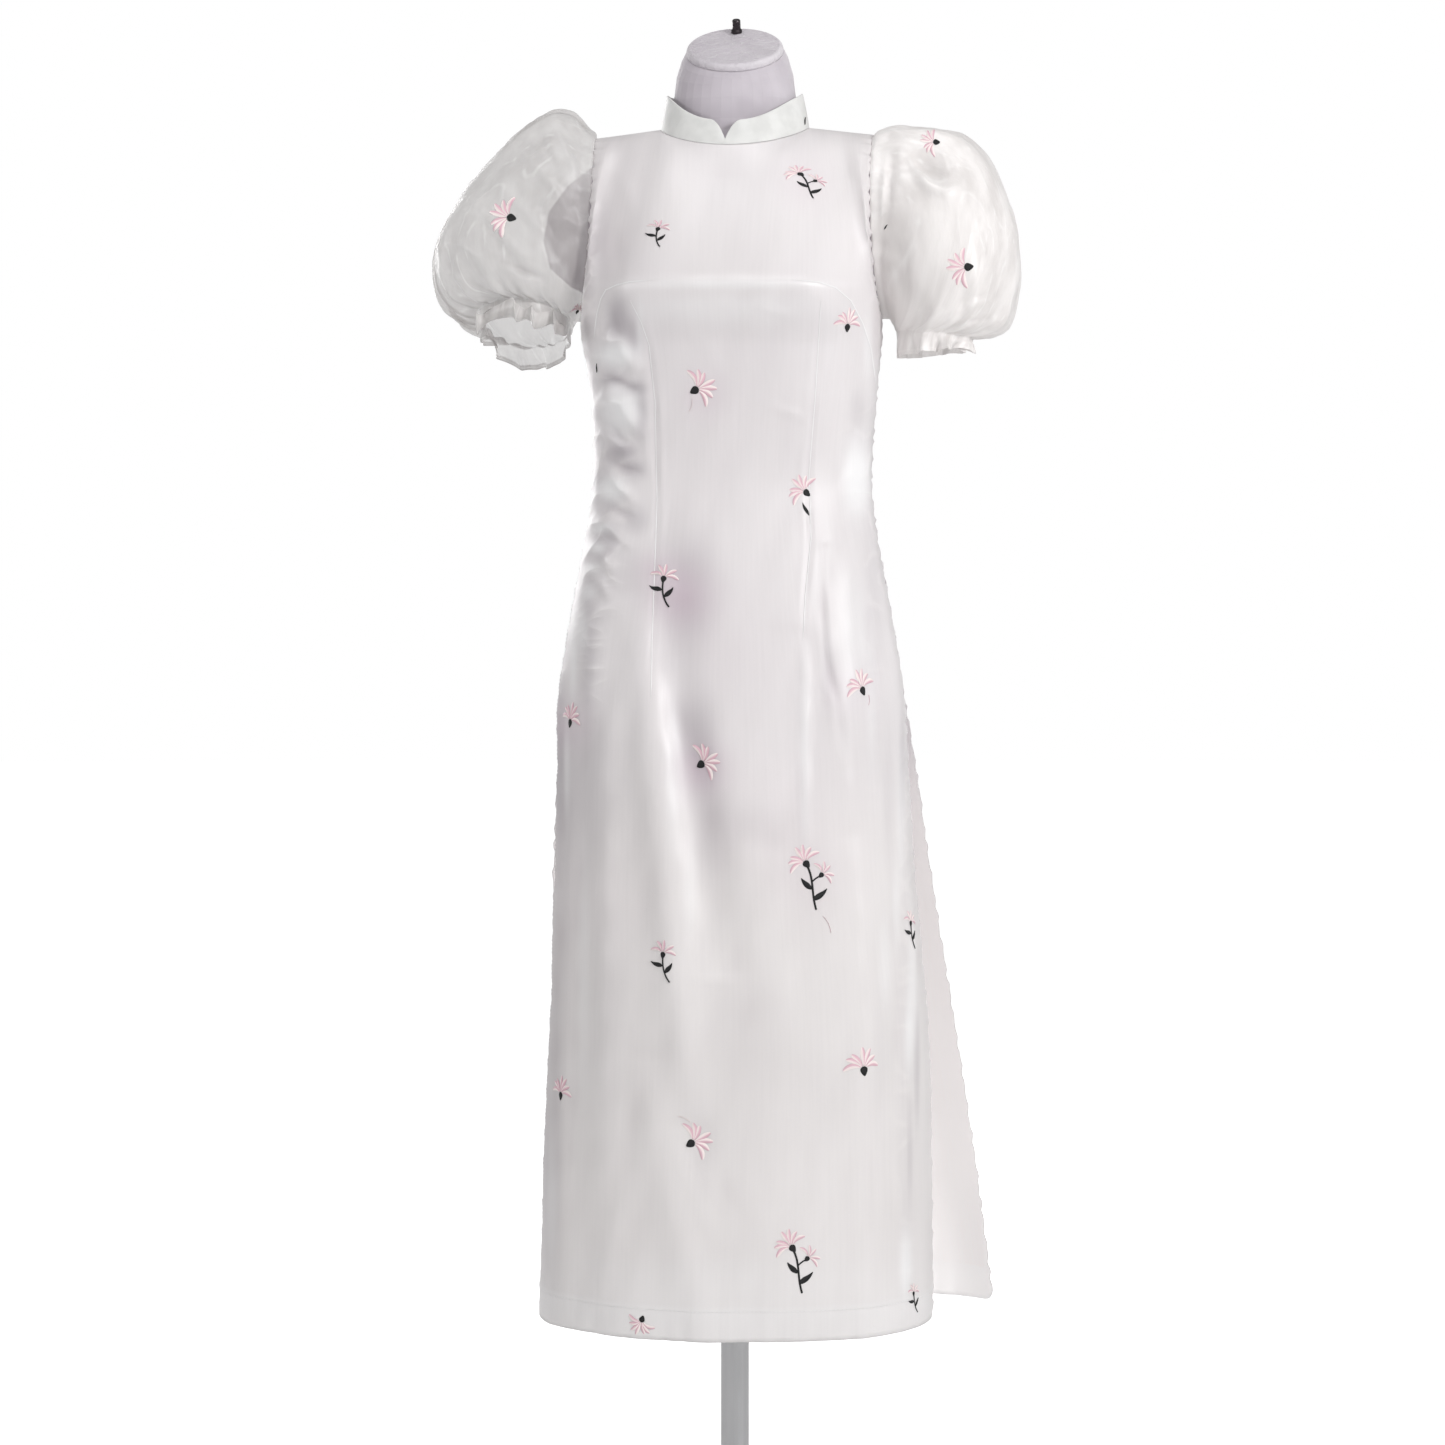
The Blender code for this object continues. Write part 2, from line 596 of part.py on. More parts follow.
# The collar stands on the neckline's points, from one side of its split at the
# centre back round the front to the other side
def collar_object(front_outer, back_right_outer, back_left_outer, material):
    top = SKIRT_ROWS + WAIST_ROWS + CHEST_ROWS
    reach = NECK_COLUMNS
    right_back = [back_right_outer[top][column] for column in range(reach + 1)]
    front = [
        front_outer[top][column]
        for column in range(HALF_COLUMNS - reach, HALF_COLUMNS + reach + 1)
    ]
    left_back = [back_left_outer[top][column] for column in range(reach, -1, -1)]
    neckline = right_back[:-1] + front + left_back[1:]
    base = []
    for first, second in zip(neckline, neckline[1:]):
        for step in range(COLLAR_STEPS):
            base.append(mix(first, second, step / COLLAR_STEPS))
    base.append(neckline[-1])
    base[0].x = -COLLAR_SPLIT / 2
    base[-1].x = COLLAR_SPLIT / 2
    middle = len(base) // 2
    distances = [0.0] * len(base)
    for index in range(middle + 1, len(base)):
        step = (base[index] - base[index - 1]).length
        distances[index] = distances[index - 1] + step
    for index in range(middle - 1, -1, -1):
        step = (base[index + 1] - base[index]).length
        distances[index] = distances[index + 1] + step
    outer = []
    inner = []
    for row in range(COLLAR_ROWS + 1):
        outer_line = []
        inner_line = []
        for index, point in enumerate(base):
            ahead = base[min(index + 1, len(base) - 1)] - base[max(index - 1, 0)]
            ahead.z = 0.0
            outward = Vector((-ahead.y, ahead.x, 0.0)).normalized()
            if outward.dot(Vector((point.x, point.y, 0.0))) < 0.0:
                outward = -outward
            if index in (0, len(base) - 1):
                outward = Vector((0.0, 1.0, 0.0))
            rise = Vector((0.0, 0.0, 1.0)) - outward * COLLAR_LEAN
            height = collar_height(distances[index]) * row / COLLAR_ROWS + SEAM_GAP
            place = point + rise * height
            outer_line.append(place)
            inner_line.append(place - outward * COLLAR_CLOTH)
        outer.append(outer_line)
        inner.append(inner_line)
    return wall_object("collar", outer, inner, material)


def form_object(material):
    bm = bmesh.new()
    loops = []
    for ring in FORM_RINGS:
        power = 2.0 / ring.fullness
        loop = []
        for segment in range(FORM_SEGMENTS):
            angle = 2.0 * math.pi * segment / FORM_SEGMENTS
            across = math.sin(angle)
            along = -math.cos(angle)
            x = ring.half_width * signed_power(across, power)
            depth = -ring.front_y if along < 0.0 else ring.back_y
            y = depth * signed_power(along, power)
            if ring.reach > ring.half_width:
                stretch = abs(across) ** SHOULDER_END_SHARPNESS
                x += math.copysign((ring.reach - ring.half_width) * stretch, across)
            if along < 0.0:
                off_x = (abs(x) - FORM_CUP_X) / FORM_CUP_WIDTH
                off_z = (ring.z - BUST_Z) / FORM_CUP_HEIGHT
                y -= FORM_CUP_RISE * math.exp(-(off_x**2) - off_z**2)
            loop.append(bm.verts.new((x, y, ring.z + ring.slant * y)))
        loops.append(loop)
    for low, high in zip(loops, loops[1:]):
        for segment in range(FORM_SEGMENTS):
            after = (segment + 1) % FORM_SEGMENTS
            bm.faces.new((low[segment], low[after], high[after], high[segment]))
    bm.faces.new(loops[0])
    bm.faces.new(loops[-1])
    return link_mesh("form_torso", bm, material)


# A turned solid: profile rows of (radius, height), closed on the axis at both ends
def turned_object(name, profile, segments, material, stretch=(1.0, 1.0)):
    bm = bmesh.new()
    loops = []
    for radius, height in profile:
        loop = []
        for segment in range(segments):
            angle = 2.0 * math.pi * segment / segments
            x = radius * math.cos(angle) * stretch[0]
            y = radius * math.sin(angle) * stretch[1]
            loop.append(bm.verts.new((x, y, height)))
        loops.append(loop)
    for low, high in zip(loops, loops[1:]):
        for segment in range(segments):
            after = (segment + 1) % segments
            bm.faces.new((low[segment], low[after], high[after], high[segment]))
    bm.faces.new(loops[0])
    bm.faces.new(loops[-1])
    return link_mesh(name, bm, material)


def main():
    clear_scene()
    satin = make_material("white_satin", (0.80, 0.79, 0.80), 0.35)
    organza = make_material("white_organza", (0.78, 0.77, 0.78), 0.40)
    crisp = make_material("white_collar", (0.83, 0.83, 0.81), 0.55)
    jersey = make_material("lilac_jersey", (0.50, 0.46, 0.53), 0.80)
    dark_metal = make_material("dark_metal", (0.06, 0.05, 0.06), 0.35, 1.0)
    steel = make_material("steel", (0.55, 0.55, 0.56), 0.35, 1.0)

    # Tunic body
    front = Face(-1, FRONT_SECTIONS, FRONT_FOLDS, NECK_FRONT, 0.45)
    back = Face(1, BACK_SECTIONS, BACK_FOLDS, NECK_BACK, 0.60)
    full = [step / HALF_COLUMNS for step in range(-HALF_COLUMNS, HALF_COLUMNS + 1)]
    left_half = [step / HALF_COLUMNS for step in range(HALF_COLUMNS + 1)]
    right_half = [-share for share in left_half]
    front_outer, front_inner = panel_grids(front, full)
    left_outer, left_inner = panel_grids(back, left_half)
    right_outer, right_inner = panel_grids(back, right_half)
    for grids, shift in (((left_outer, left_inner), 1), ((right_outer, right_inner), -1)):
        for grid in grids:
            for line in grid:
                line[0].x += shift * SEAM_GAP / 2
    wall_object("front_panel", front_outer, front_inner, satin)
    wall_object("back_left", left_outer, left_inner, satin)
    wall_object("back_right", right_outer, right_inner, satin)

    # Sleeves, from the armholes' rims
    edge = HALF_COLUMNS
    left_rims = (
        armhole_rim(front_outer, left_outer, 2 * edge, edge),
        armhole_rim(front_inner, left_inner, 2 * edge, edge),
    )
    right_rims = (
        armhole_rim(front_outer, right_outer, 0, edge),
        armhole_rim(front_inner, right_inner, 0, edge),
    )
    sleeve_object("sleeve_left", 1, LEFT_SLEEVE, LEFT_DENTS, *left_rims, organza)
    sleeve_object("sleeve_right", -1, RIGHT_SLEEVE, RIGHT_DENTS, *right_rims, organza)
    collar_object(front_outer, right_outer, left_outer, crisp)

    # Dress form and stand
    form_object(jersey)
    cap_profile = (
        (0.93, 0.0),
        (0.99, CAP_THICKNESS * 0.20),
        (1.00, CAP_THICKNESS * 0.45),
        (0.96, CAP_THICKNESS * 0.80),
        (0.86, CAP_THICKNESS),
        (0.30, CAP_THICKNESS * 1.12),
    )
    cap_size = (CAP_HALF_WIDTH, CAP_HALF_LENGTH)
    cap = turned_object("form_neck_cap", cap_profile, 40, jersey, cap_size)
    cap_out = Vector((0.0, -math.sin(CAP_TILT), math.cos(CAP_TILT)))
    cap.location = Vector((0.0, 0.0, CAP_PLANE_Z)) + cap_out * SEAM_GAP
    cap.rotation_euler = (CAP_TILT, 0.0, 0.0)
    knob_profile = (
        (KNOB_RADIUS * 1.35, 0.0),
        (KNOB_RADIUS * 1.35, KNOB_HEIGHT * 0.15),
        (KNOB_RADIUS, KNOB_HEIGHT * 0.30),
        (KNOB_RADIUS, KNOB_HEIGHT * 0.92),
        (KNOB_RADIUS * 0.85, KNOB_HEIGHT),
    )
    knob = turned_object("form_knob", knob_profile, 20, dark_metal)
    knob_seat = Vector((0.0, KNOB_Y * math.cos(CAP_TILT), KNOB_Y * math.sin(CAP_TILT)))
    knob.location = cap.location + knob_seat + cap_out * (CAP_THICKNESS * 1.06 + SEAM_GAP)
    knob.rotation_euler = (CAP_TILT, 0.0, 0.0)
    base_profile = (
        (BASE_RADIUS, 0.0),
        (BASE_RADIUS, BASE_THICKNESS * 0.6),
        (BASE_RADIUS - 0.004, BASE_THICKNESS),
        (HUB_RADIUS + 0.010, BASE_THICKNESS + 0.004),
        (HUB_RADIUS, BASE_THICKNESS + 0.010),
        (HUB_RADIUS, HUB_HEIGHT - 0.002),
        (HUB_RADIUS - 0.002, HUB_HEIGHT),
    )
    turned_object("stand_base", base_profile, 48, steel)
    pole_profile = (
        (POLE_RADIUS, HUB_HEIGHT + SEAM_GAP),
        (POLE_RADIUS, FORM_BOTTOM_Z - SEAM_GAP),
    )
    turned_object("stand_pole", pole_profile, 24, steel)


main()
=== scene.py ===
import math

import bmesh
import bpy
import numpy as np
from mathutils import Matrix, Vector
from mathutils.bvhtree import BVHTree


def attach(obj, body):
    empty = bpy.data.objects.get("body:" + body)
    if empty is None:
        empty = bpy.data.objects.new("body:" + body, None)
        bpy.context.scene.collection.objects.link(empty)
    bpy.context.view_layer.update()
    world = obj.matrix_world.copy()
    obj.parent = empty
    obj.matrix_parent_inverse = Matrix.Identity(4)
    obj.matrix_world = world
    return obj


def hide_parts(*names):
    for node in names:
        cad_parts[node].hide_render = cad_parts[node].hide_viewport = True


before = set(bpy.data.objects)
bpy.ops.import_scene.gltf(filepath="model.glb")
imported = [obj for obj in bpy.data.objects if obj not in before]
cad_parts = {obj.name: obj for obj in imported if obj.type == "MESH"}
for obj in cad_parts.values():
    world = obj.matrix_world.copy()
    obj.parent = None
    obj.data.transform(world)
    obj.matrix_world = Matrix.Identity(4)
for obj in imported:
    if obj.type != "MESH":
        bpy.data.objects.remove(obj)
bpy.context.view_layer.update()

# The picture is 1445 units wide and high. Creases and sprigs of the front are given in
# its units, across from the left and down from the top, as the camera sees them.
view = {
    "size": 1445, "azimuth": 4.0, "distance": 3.0, "lens": 74.7, "sensor": 36.0,
    "centre": (-0.0125, 0.0, 0.806),
}

# The back is drawn as if seen through the front, one unit to the millimetre
backView = {"middle": 735, "floor": 1528, "scale": 1000, "away": 0.6}

body = {
    "hemZ": 0.212,
    "slitTopZ": 0.965,
    "chestZ": 1.190,
    "underarmRise": 0.018,
    "seamGap": 0.0003,
    "thickness": 0.0009,
    "neckShare": 5 / 12,
    "halfColumns": 72,
    "rows": (150, 68, 92),
    "neckSide": (0.0745, 0.0, 1.3995),
    "shoulderTip": (0.140, 0.002, 1.392),
    "bust": {"z": 1.226, "rise": 0.019, "flatX": 0.088, "endX": 0.140, "above": 0.110, "below": 0.055},
    "hemCorner": 0.012,
    "hemDepth": 0.031,
    "slitHem": 0.011,
    "halfWidth": 0.22,
}

# Fine drape of the panels: rise, length and reach of each kind of wave, in metres
drape = {
    "uneven": {"rise": 0.0005, "length": 62.0},
    "sideSeam": {"rise": 0.0022, "length": 0.0150, "reach": 0.010, "dip": 0.0007, "width": 0.0022},
    "slit": {"rise": 0.0014, "length": 0.024, "reach": 0.012, "soft": 0.0012},
    "hem": {"rise": 0.0007, "length": 0.031, "reach": 0.03, "soft": 0.0015},
    "armhole": {"rise": 0.0018, "length": 0.021, "reach": 0.011},
    "bandRise": 0.0005,
    "reliefScale": 0.0055,
}

# Sections: z, half width, centre x, middle y, edge y, fullness.
# Folds: top z, bottom z, top x, bottom x, width, rise.
# Creases: points along it, half width, rise in millimetres.
front = {
    "facing": -1,
    "neckMiddle": (0.0, -0.064, 1.372),
    "neckSlope": 0.45,
    "sections": [
        (0.212, 0.1980, -0.0010, -0.1250, 0.0300, 2.30),
        (0.350, 0.1955, 0.0005, -0.1230, 0.0280, 2.30),
        (0.500, 0.1905, 0.0020, -0.1205, 0.0240, 2.30),
        (0.650, 0.1815, -0.0020, -0.1175, 0.0180, 2.30),
        (0.770, 0.1760, -0.0035, -0.1140, 0.0120, 2.30),
        (0.830, 0.1735, -0.0045, -0.1120, 0.0080, 2.30),
        (0.900, 0.1625, -0.0045, -0.1075, 0.0030, 2.30),
        (0.965, 0.1510, -0.0040, -0.1010, 0.0000, 2.30),
        (1.0385, 0.1400, -0.0030, -0.0920, 0.0000, 2.25),
        (1.130, 0.1425, -0.0010, -0.1000, 0.0000, 2.35),
        (1.190, 0.1500, -0.0030, -0.1050, 0.0000, 2.50),
        (1.240, 0.1500, -0.0025, -0.1050, 0.0000, 2.60),
    ],
    "folds": [
        (0.930, 0.420, -0.090, -0.034, 0.020, 0.009),
        (0.930, 0.560, -0.062, -0.004, 0.022, -0.009),
        (0.800, 0.100, -0.150, -0.140, 0.022, -0.008),
        (0.980, 0.700, 0.096, 0.125, 0.014, 0.004),
        (0.900, 0.300, 0.060, 0.075, 0.024, -0.004),
        (0.760, 0.100, 0.128, 0.138, 0.020, 0.006),
        (0.480, 0.140, -0.080, -0.005, 0.022, 0.006),
    ],
    # Seams: points along one, half width in picture units
    "seams": [
        ([(594, 338), (597, 314), (601, 299), (606, 290), (617, 285), (629, 282), (652, 280)], 0.7),
        ([(796, 280), (819, 282), (836, 288), (851, 301), (863, 324), (871, 349), (876, 386)], 0.7),
        ([(630, 300), (641, 322), (649, 345), (655, 400), (657, 499), (655, 560), (652, 640),
          (651, 700)], 0.5),
        ([(821, 300), (815, 400), (809, 475), (811, 538), (805, 600), (803, 640)], 0.5),
    ],
    "creases": [
        # Shelf of the bust and the fall of the cloth below it
        ([(602, 296), (614, 287), (629, 282), (720, 281), (819, 282), (838, 288), (852, 302)], 5.0, 2.1),
        ([(852, 300), (864, 324), (871, 349), (876, 386)], 3.2, 1.3),
        ([(604, 298), (601, 320), (603, 345)], 3.0, 0.9),
        ([(640, 300), (720, 298), (812, 299)], 9.0, -0.7),
        ([(752, 303), (775, 311), (800, 318)], 5.0, 0.8),
        ([(768, 405), (788, 412), (808, 421)], 5.0, 0.7),
        ([(690, 330), (712, 352), (724, 380)], 8.0, 0.6),
        # Fisheye darts
        ([(633, 309), (648, 340), (655, 400), (657, 499), (655, 560), (652, 640), (651, 705)], 1.9, -1.3),
        ([(640, 312), (654, 342), (661, 400), (663, 499), (661, 560), (658, 640)], 3.2, 0.7),
        ([(821, 301), (815, 400), (809, 475), (811, 538), (805, 600), (803, 645)], 1.9, -1.3),
        ([(814, 305), (808, 400), (802, 475), (804, 538), (799, 600)], 3.2, 0.7),
        # Crumpled strip at the left, between the dart and the side
        ([(604, 336), (622, 348), (641, 372)], 8.5, 4.6),
        ([(600, 374), (618, 380), (637, 392)], 4.2, -3.4),
        ([(600, 392), (622, 406), (644, 436)], 8.0, 4.4),
        ([(598, 416), (612, 428), (626, 446)], 3.6, -2.8),
        ([(601, 430), (614, 440), (628, 450)], 4.2, 2.6),
        ([(600, 454), (618, 466), (643, 474)], 5.0, -2.4),
        ([(602, 472), (616, 482), (638, 504)], 5.0, 3.0),
        ([(596, 498), (612, 508), (640, 524)], 5.0, -2.4),
        ([(592, 516), (610, 528), (636, 550)], 5.4, 2.6),
        ([(588, 542), (604, 556), (620, 578)], 5.4, 2.4),
        ([(584, 568), (598, 580), (612, 600)], 4.4, 1.6),
        ([(610, 300), (616, 330), (613, 368)], 6.0, -1.6),
        ([(645, 360), (646, 420), (648, 480)], 4.0, 0.8),
        # Strip at the right
        ([(848, 436), (858, 472), (861, 520)], 10.0, 2.6),
        ([(862, 400), (852, 440), (838, 486)], 5.0, -0.8),
        ([(832, 545), (834, 620), (842, 700)], 6.0, -1.1),
        ([(848, 560), (852, 640), (860, 712)], 6.5, 2.0),
        ([(866, 590), (872, 650), (880, 720)], 4.0, -1.2),
        ([(824, 520), (822, 590), (826, 655), (840, 702)], 4.0, -1.4),
        ([(874, 430), (868, 470), (869, 505)], 3.6, 0.9),
        # Long soft folds of the skirt
        ([(652, 650), (667, 751), (680, 850), (693, 934)], 9.0, 1.3),
        ([(655, 655), (688, 741), (703, 772), (712, 830), (718, 878)], 13.0, -2.0),
        ([(668, 540), (682, 590), (696, 640)], 12.0, -1.1),
        ([(804, 640), (806, 720), (806, 790), (808, 862)], 5.0, 2.2),
        ([(822, 655), (838, 700), (846, 760)], 5.0, -1.3),
        ([(670, 1130), (690, 1185), (720, 1250)], 9.0, 1.4),
        ([(700, 1120), (722, 1180), (752, 1240)], 11.0, -1.0),
        ([(617, 660), (606, 800), (604, 960), (598, 1120), (590, 1290)], 13.0, 2.0),
        ([(566, 640), (560, 800), (556, 1000), (554, 1290)], 7.0, -1.8),
        ([(588, 700), (580, 860), (574, 1040), (566, 1290)], 8.0, -1.5),
        ([(720, 800), (752, 835), (792, 852)], 14.0, -1.0),
        ([(742, 940), (748, 1000), (742, 1060)], 18.0, -1.1),
        ([(782, 950), (790, 1020), (800, 1100)], 16.0, 1.0),
        ([(852, 820), (862, 900), (866, 990), (872, 1090)], 10.0, 1.5),
        ([(888, 800), (894, 900), (897, 1000), (896, 1120)], 6.0, -1.3),
        ([(905, 860), (914, 950), (918, 1040)], 4.0, 1.2),
        ([(896, 1160), (903, 1230), (906, 1300)], 4.5, 1.1),
        ([(868, 1110), (872, 1200), (876, 1300)], 8.0, -0.9),
        ([(640, 980), (632, 1100), (628, 1250)], 12.0, -1.1),
        ([(548, 900), (542, 1040), (540, 1180)], 3.6, 1.0),
        # Soft hollows of the yoke
        ([(690, 170), (735, 178), (780, 170)], 16.0, -0.8),
        ([(606, 200), (612, 240), (620, 275)], 9.0, -0.9),
        ([(862, 200), (858, 240), (850, 275)], 9.0, -0.9),
        ([(600, 150), (625, 185), (640, 230)], 9.0, 0.8),
        ([(876, 150), (850, 185), (838, 230)], 9.0, 0.8),
    ],
}

back = {
    "facing": 1,
    "neckMiddle": (0.0, 0.060, 1.404),
    "neckSlope": 0.60,
    "sections": [
        (0.212, 0.2225, 0.0365, 0.1500, 0.0900, 2.20),
        (0.350, 0.2140, 0.0280, 0.1460, 0.0800, 2.20),
        (0.500, 0.2030, 0.0165, 0.1400, 0.0660, 2.20),
        (0.650, 0.1920, 0.0040, 0.1340, 0.0500, 2.20),
        (0.770, 0.1800, -0.0010, 0.1270, 0.0300, 2.20),
        (0.830, 0.1735, -0.0045, 0.1200, 0.0170, 2.20),
        (0.900, 0.1625, -0.0045, 0.1090, 0.0070, 2.20),
        (0.965, 0.1510, -0.0040, 0.0960, 0.0000, 2.20),
        (1.0385, 0.1400, -0.0030, 0.0800, 0.0000, 2.20),
        (1.130, 0.1425, -0.0010, 0.0900, 0.0000, 2.30),
        (1.190, 0.1500, -0.0030, 0.0970, 0.0000, 2.40),
        (1.240, 0.1500, -0.0025, 0.0990, 0.0000, 2.45),
    ],
    "folds": [
        (0.900, 0.080, -0.070, -0.060, 0.026, 0.008),
        (0.880, 0.080, -0.020, 0.000, 0.026, -0.008),
        (0.900, 0.080, 0.050, 0.085, 0.028, 0.009),
        (0.820, 0.080, 0.105, 0.165, 0.024, -0.008),
        (0.820, 0.080, -0.125, -0.120, 0.022, -0.006),
    ],
    # in the units of backView
    "seams": [
        ([(672, 330), (668, 400), (664, 490), (667, 560), (674, 655)], 0.8),
        ([(800, 330), (805, 400), (810, 490), (806, 560), (799, 655)], 0.8),
    ],
    "creases": [
        ([(672, 330), (668, 400), (664, 490), (667, 560), (674, 660)], 1.9, -1.3),
        ([(665, 340), (661, 400), (657, 490), (660, 560)], 3.2, 0.7),
        ([(800, 330), (805, 400), (810, 490), (806, 560), (799, 660)], 1.9, -1.3),
        ([(807, 340), (812, 400), (817, 490), (813, 560)], 3.2, 0.7),
        ([(600, 340), (622, 352), (644, 350)], 6.0, 1.5),
        ([(598, 392), (620, 402), (646, 398)], 6.0, 1.4),
        ([(598, 440), (616, 452), (640, 452)], 5.0, 1.3),
        ([(596, 478), (616, 486), (646, 480)], 5.0, -1.2),
        ([(600, 516), (622, 522), (646, 512)], 5.0, 1.1),
        ([(872, 350), (850, 360), (826, 352)], 6.0, 1.4),
        ([(872, 400), (852, 410), (828, 404)], 6.0, -1.3),
        ([(872, 442), (852, 452), (830, 446)], 5.0, 1.3),
        ([(874, 488), (850, 492), (826, 484)], 5.0, 1.1),
        ([(690, 500), (735, 512), (780, 500)], 9.0, 1.0),
        ([(690, 468), (735, 478), (780, 468)], 8.0, -0.8),
        ([(640, 180), (680, 200), (735, 206)], 12.0, -0.8),
        ([(830, 180), (790, 200), (735, 206)], 12.0, -0.8),
        ([(616, 700), (606, 850), (590, 1050), (570, 1290)], 12.0, 1.9),
        ([(660, 640), (650, 800), (640, 1000), (628, 1290)], 12.0, -1.7),
        ([(702, 640), (700, 820), (694, 1040), (684, 1290)], 10.0, 1.6),
        ([(770, 640), (776, 820), (780, 1040), (786, 1290)], 12.0, -1.6),
        ([(820, 660), (832, 840), (842, 1040), (850, 1290)], 11.0, 1.7),
        ([(866, 700), (876, 860), (884, 1040), (896, 1290)], 8.0, -1.3),
        ([(560, 760), (545, 950), (520, 1150), (505, 1290)], 7.0, 1.3),
    ],
}

# Sleeve rings: outer x, outer z, inner x, inner z, half depth, front rise, follow.
# Dents: x, y, z, radius, depth.
rightSleeve = {
    "side": -1,
    "rings": [
        (-0.1500, 1.4035, -0.1575, 1.2088, 0.0630, 0.000, 0.88),
        (-0.1650, 1.4165, -0.1590, 1.2088, 0.0700, 0.000, 0.70),
        (-0.1860, 1.4175, -0.1600, 1.2085, 0.0760, 0.002, 0.45),
        (-0.2150, 1.3985, -0.1606, 1.2082, 0.0810, 0.004, 0.22),
        (-0.2470, 1.3665, -0.1612, 1.2079, 0.0840, 0.006, 0.08),
        (-0.2780, 1.3300, -0.1618, 1.2076, 0.0840, 0.009, 0.0),
        (-0.2980, 1.2920, -0.1624, 1.2073, 0.0820, 0.012, 0.0),
        (-0.3030, 1.2540, -0.1630, 1.2070, 0.0770, 0.015, 0.0),
        (-0.2920, 1.2250, -0.1636, 1.2066, 0.0690, 0.017, 0.0),
        (-0.2730, 1.2125, -0.1642, 1.2058, 0.0590, 0.018, 0.0),
        (-0.2560, 1.2090, -0.1650, 1.2045, 0.0490, 0.018, 0.0),
        (-0.2530, 1.2000, -0.1670, 1.1970, 0.0540, 0.018, 0.0),
        (-0.2510, 1.1905, -0.1690, 1.1880, 0.0610, 0.019, 0.0),
    ],
    "dents": [(-0.200, -0.072, 1.300, 0.036, 0.005), (-0.225, 0.070, 1.320, 0.034, 0.008)],
    "creases": [
        ([(470, 196), (494, 226), (528, 262)], 5.0, 2.2), ([(490, 176), (522, 208), (560, 246)], 6.0, 2.0),
        ([(520, 152), (548, 178), (572, 216)], 5.0, 1.8), ([(446, 236), (470, 250), (500, 280)], 5.0, 2.2),
        ([(438, 268), (462, 280), (486, 304)], 4.0, 2.6), ([(500, 262), (524, 272), (548, 280)], 4.0, -2.4),
        ([(482, 216), (504, 250), (530, 278)], 6.0, -2.4), ([(540, 200), (552, 228), (556, 262)], 7.0, -2.6),
        ([(556, 128), (566, 150), (578, 176)], 4.0, 2.2), ([(536, 128), (548, 152), (560, 172)], 4.0, -1.8),
        ([(440, 250), (444, 270), (452, 292)], 2.2, 1.8), ([(462, 288), (474, 296), (490, 310)], 3.0, 2.6),
    ],
    "capWaves": 11,
    "cuffWaves": 18,
    "frillWaves": 8,
    "phase": 0.4,
    "crisp": 0.55,
    "pinch": 1.0,
    "curl": 1.0,
}

leftSleeve = {
    "side": 1,
    "rings": [
        (0.1550, 1.3995, 0.1530, 1.2075, 0.0630, 0.000, 0.88),
        (0.1750, 1.4000, 0.1545, 1.2068, 0.0690, 0.000, 0.70),
        (0.2050, 1.3970, 0.1552, 1.2060, 0.0740, -0.001, 0.45),
        (0.2340, 1.3860, 0.1558, 1.2052, 0.0790, -0.002, 0.22),
        (0.2570, 1.3600, 0.1564, 1.2044, 0.0810, -0.003, 0.08),
        (0.2730, 1.3230, 0.1570, 1.2036, 0.0810, -0.004, 0.0),
        (0.2830, 1.2820, 0.1576, 1.2028, 0.0790, -0.004, 0.0),
        (0.2840, 1.2400, 0.1582, 1.2020, 0.0740, -0.004, 0.0),
        (0.2750, 1.2030, 0.1588, 1.2010, 0.0670, -0.004, 0.0),
        (0.2590, 1.1905, 0.1596, 1.1990, 0.0590, -0.004, 0.0),
        (0.2400, 1.1875, 0.1608, 1.1950, 0.0520, -0.004, 0.0),
        (0.2370, 1.1820, 0.1625, 1.1830, 0.0540, -0.004, 0.0),
        (0.2345, 1.1775, 0.1640, 1.1695, 0.0560, -0.004, 0.0),
    ],
    "dents": [(0.200, -0.060, 1.356, 0.030, 0.006), (0.190, 0.062, 1.340, 0.030, 0.009)],
    "creases": [
        ([(906, 150), (914, 168), (928, 185), (946, 192), (962, 184)], 4.4, 4.2),
        ([(914, 150), (932, 164), (950, 172)], 9.0, -2.6), ([(942, 150), (948, 160), (950, 168)], 2.4, 2.2),
        ([(890, 134), (908, 140), (930, 146), (950, 152)], 5.0, 2.6), ([(900, 146), (902, 170), (896, 200)], 6.0, 1.8),
        ([(886, 150), (882, 190), (880, 236)], 4.0, 2.2), ([(892, 150), (890, 190), (887, 230)], 4.0, -1.8),
        ([(884, 260), (890, 290), (900, 320)], 6.0, 1.6), ([(900, 240), (904, 280), (914, 310)], 9.0, -2.0),
        ([(946, 318), (968, 306), (996, 300)], 4.0, 2.2), ([(940, 330), (966, 322), (992, 318)], 3.2, -2.0),
        ([(922, 336), (930, 320), (944, 308)], 4.0, 2.0), ([(992, 230), (1002, 262), (1004, 296)], 7.0, 1.4),
    ],
    "capWaves": 11,
    "cuffWaves": 18,
    "frillWaves": 9,
    "phase": 1.7,
    "crisp": 0.28,
    "pinch": 0.35,
    "curl": 0.0,
}

collar = {
    "height": 0.034, "frontHeight": 0.025, "notchHeight": 0.005, "round": 0.017,
    "fullHeightAt": 0.085, "lean": 0.19, "split": 0.0010, "notchShift": -0.0060, "thickness": 0.0020,
    "topRound": 0.001, "bulge": 0.0004, "rows": 10,
}

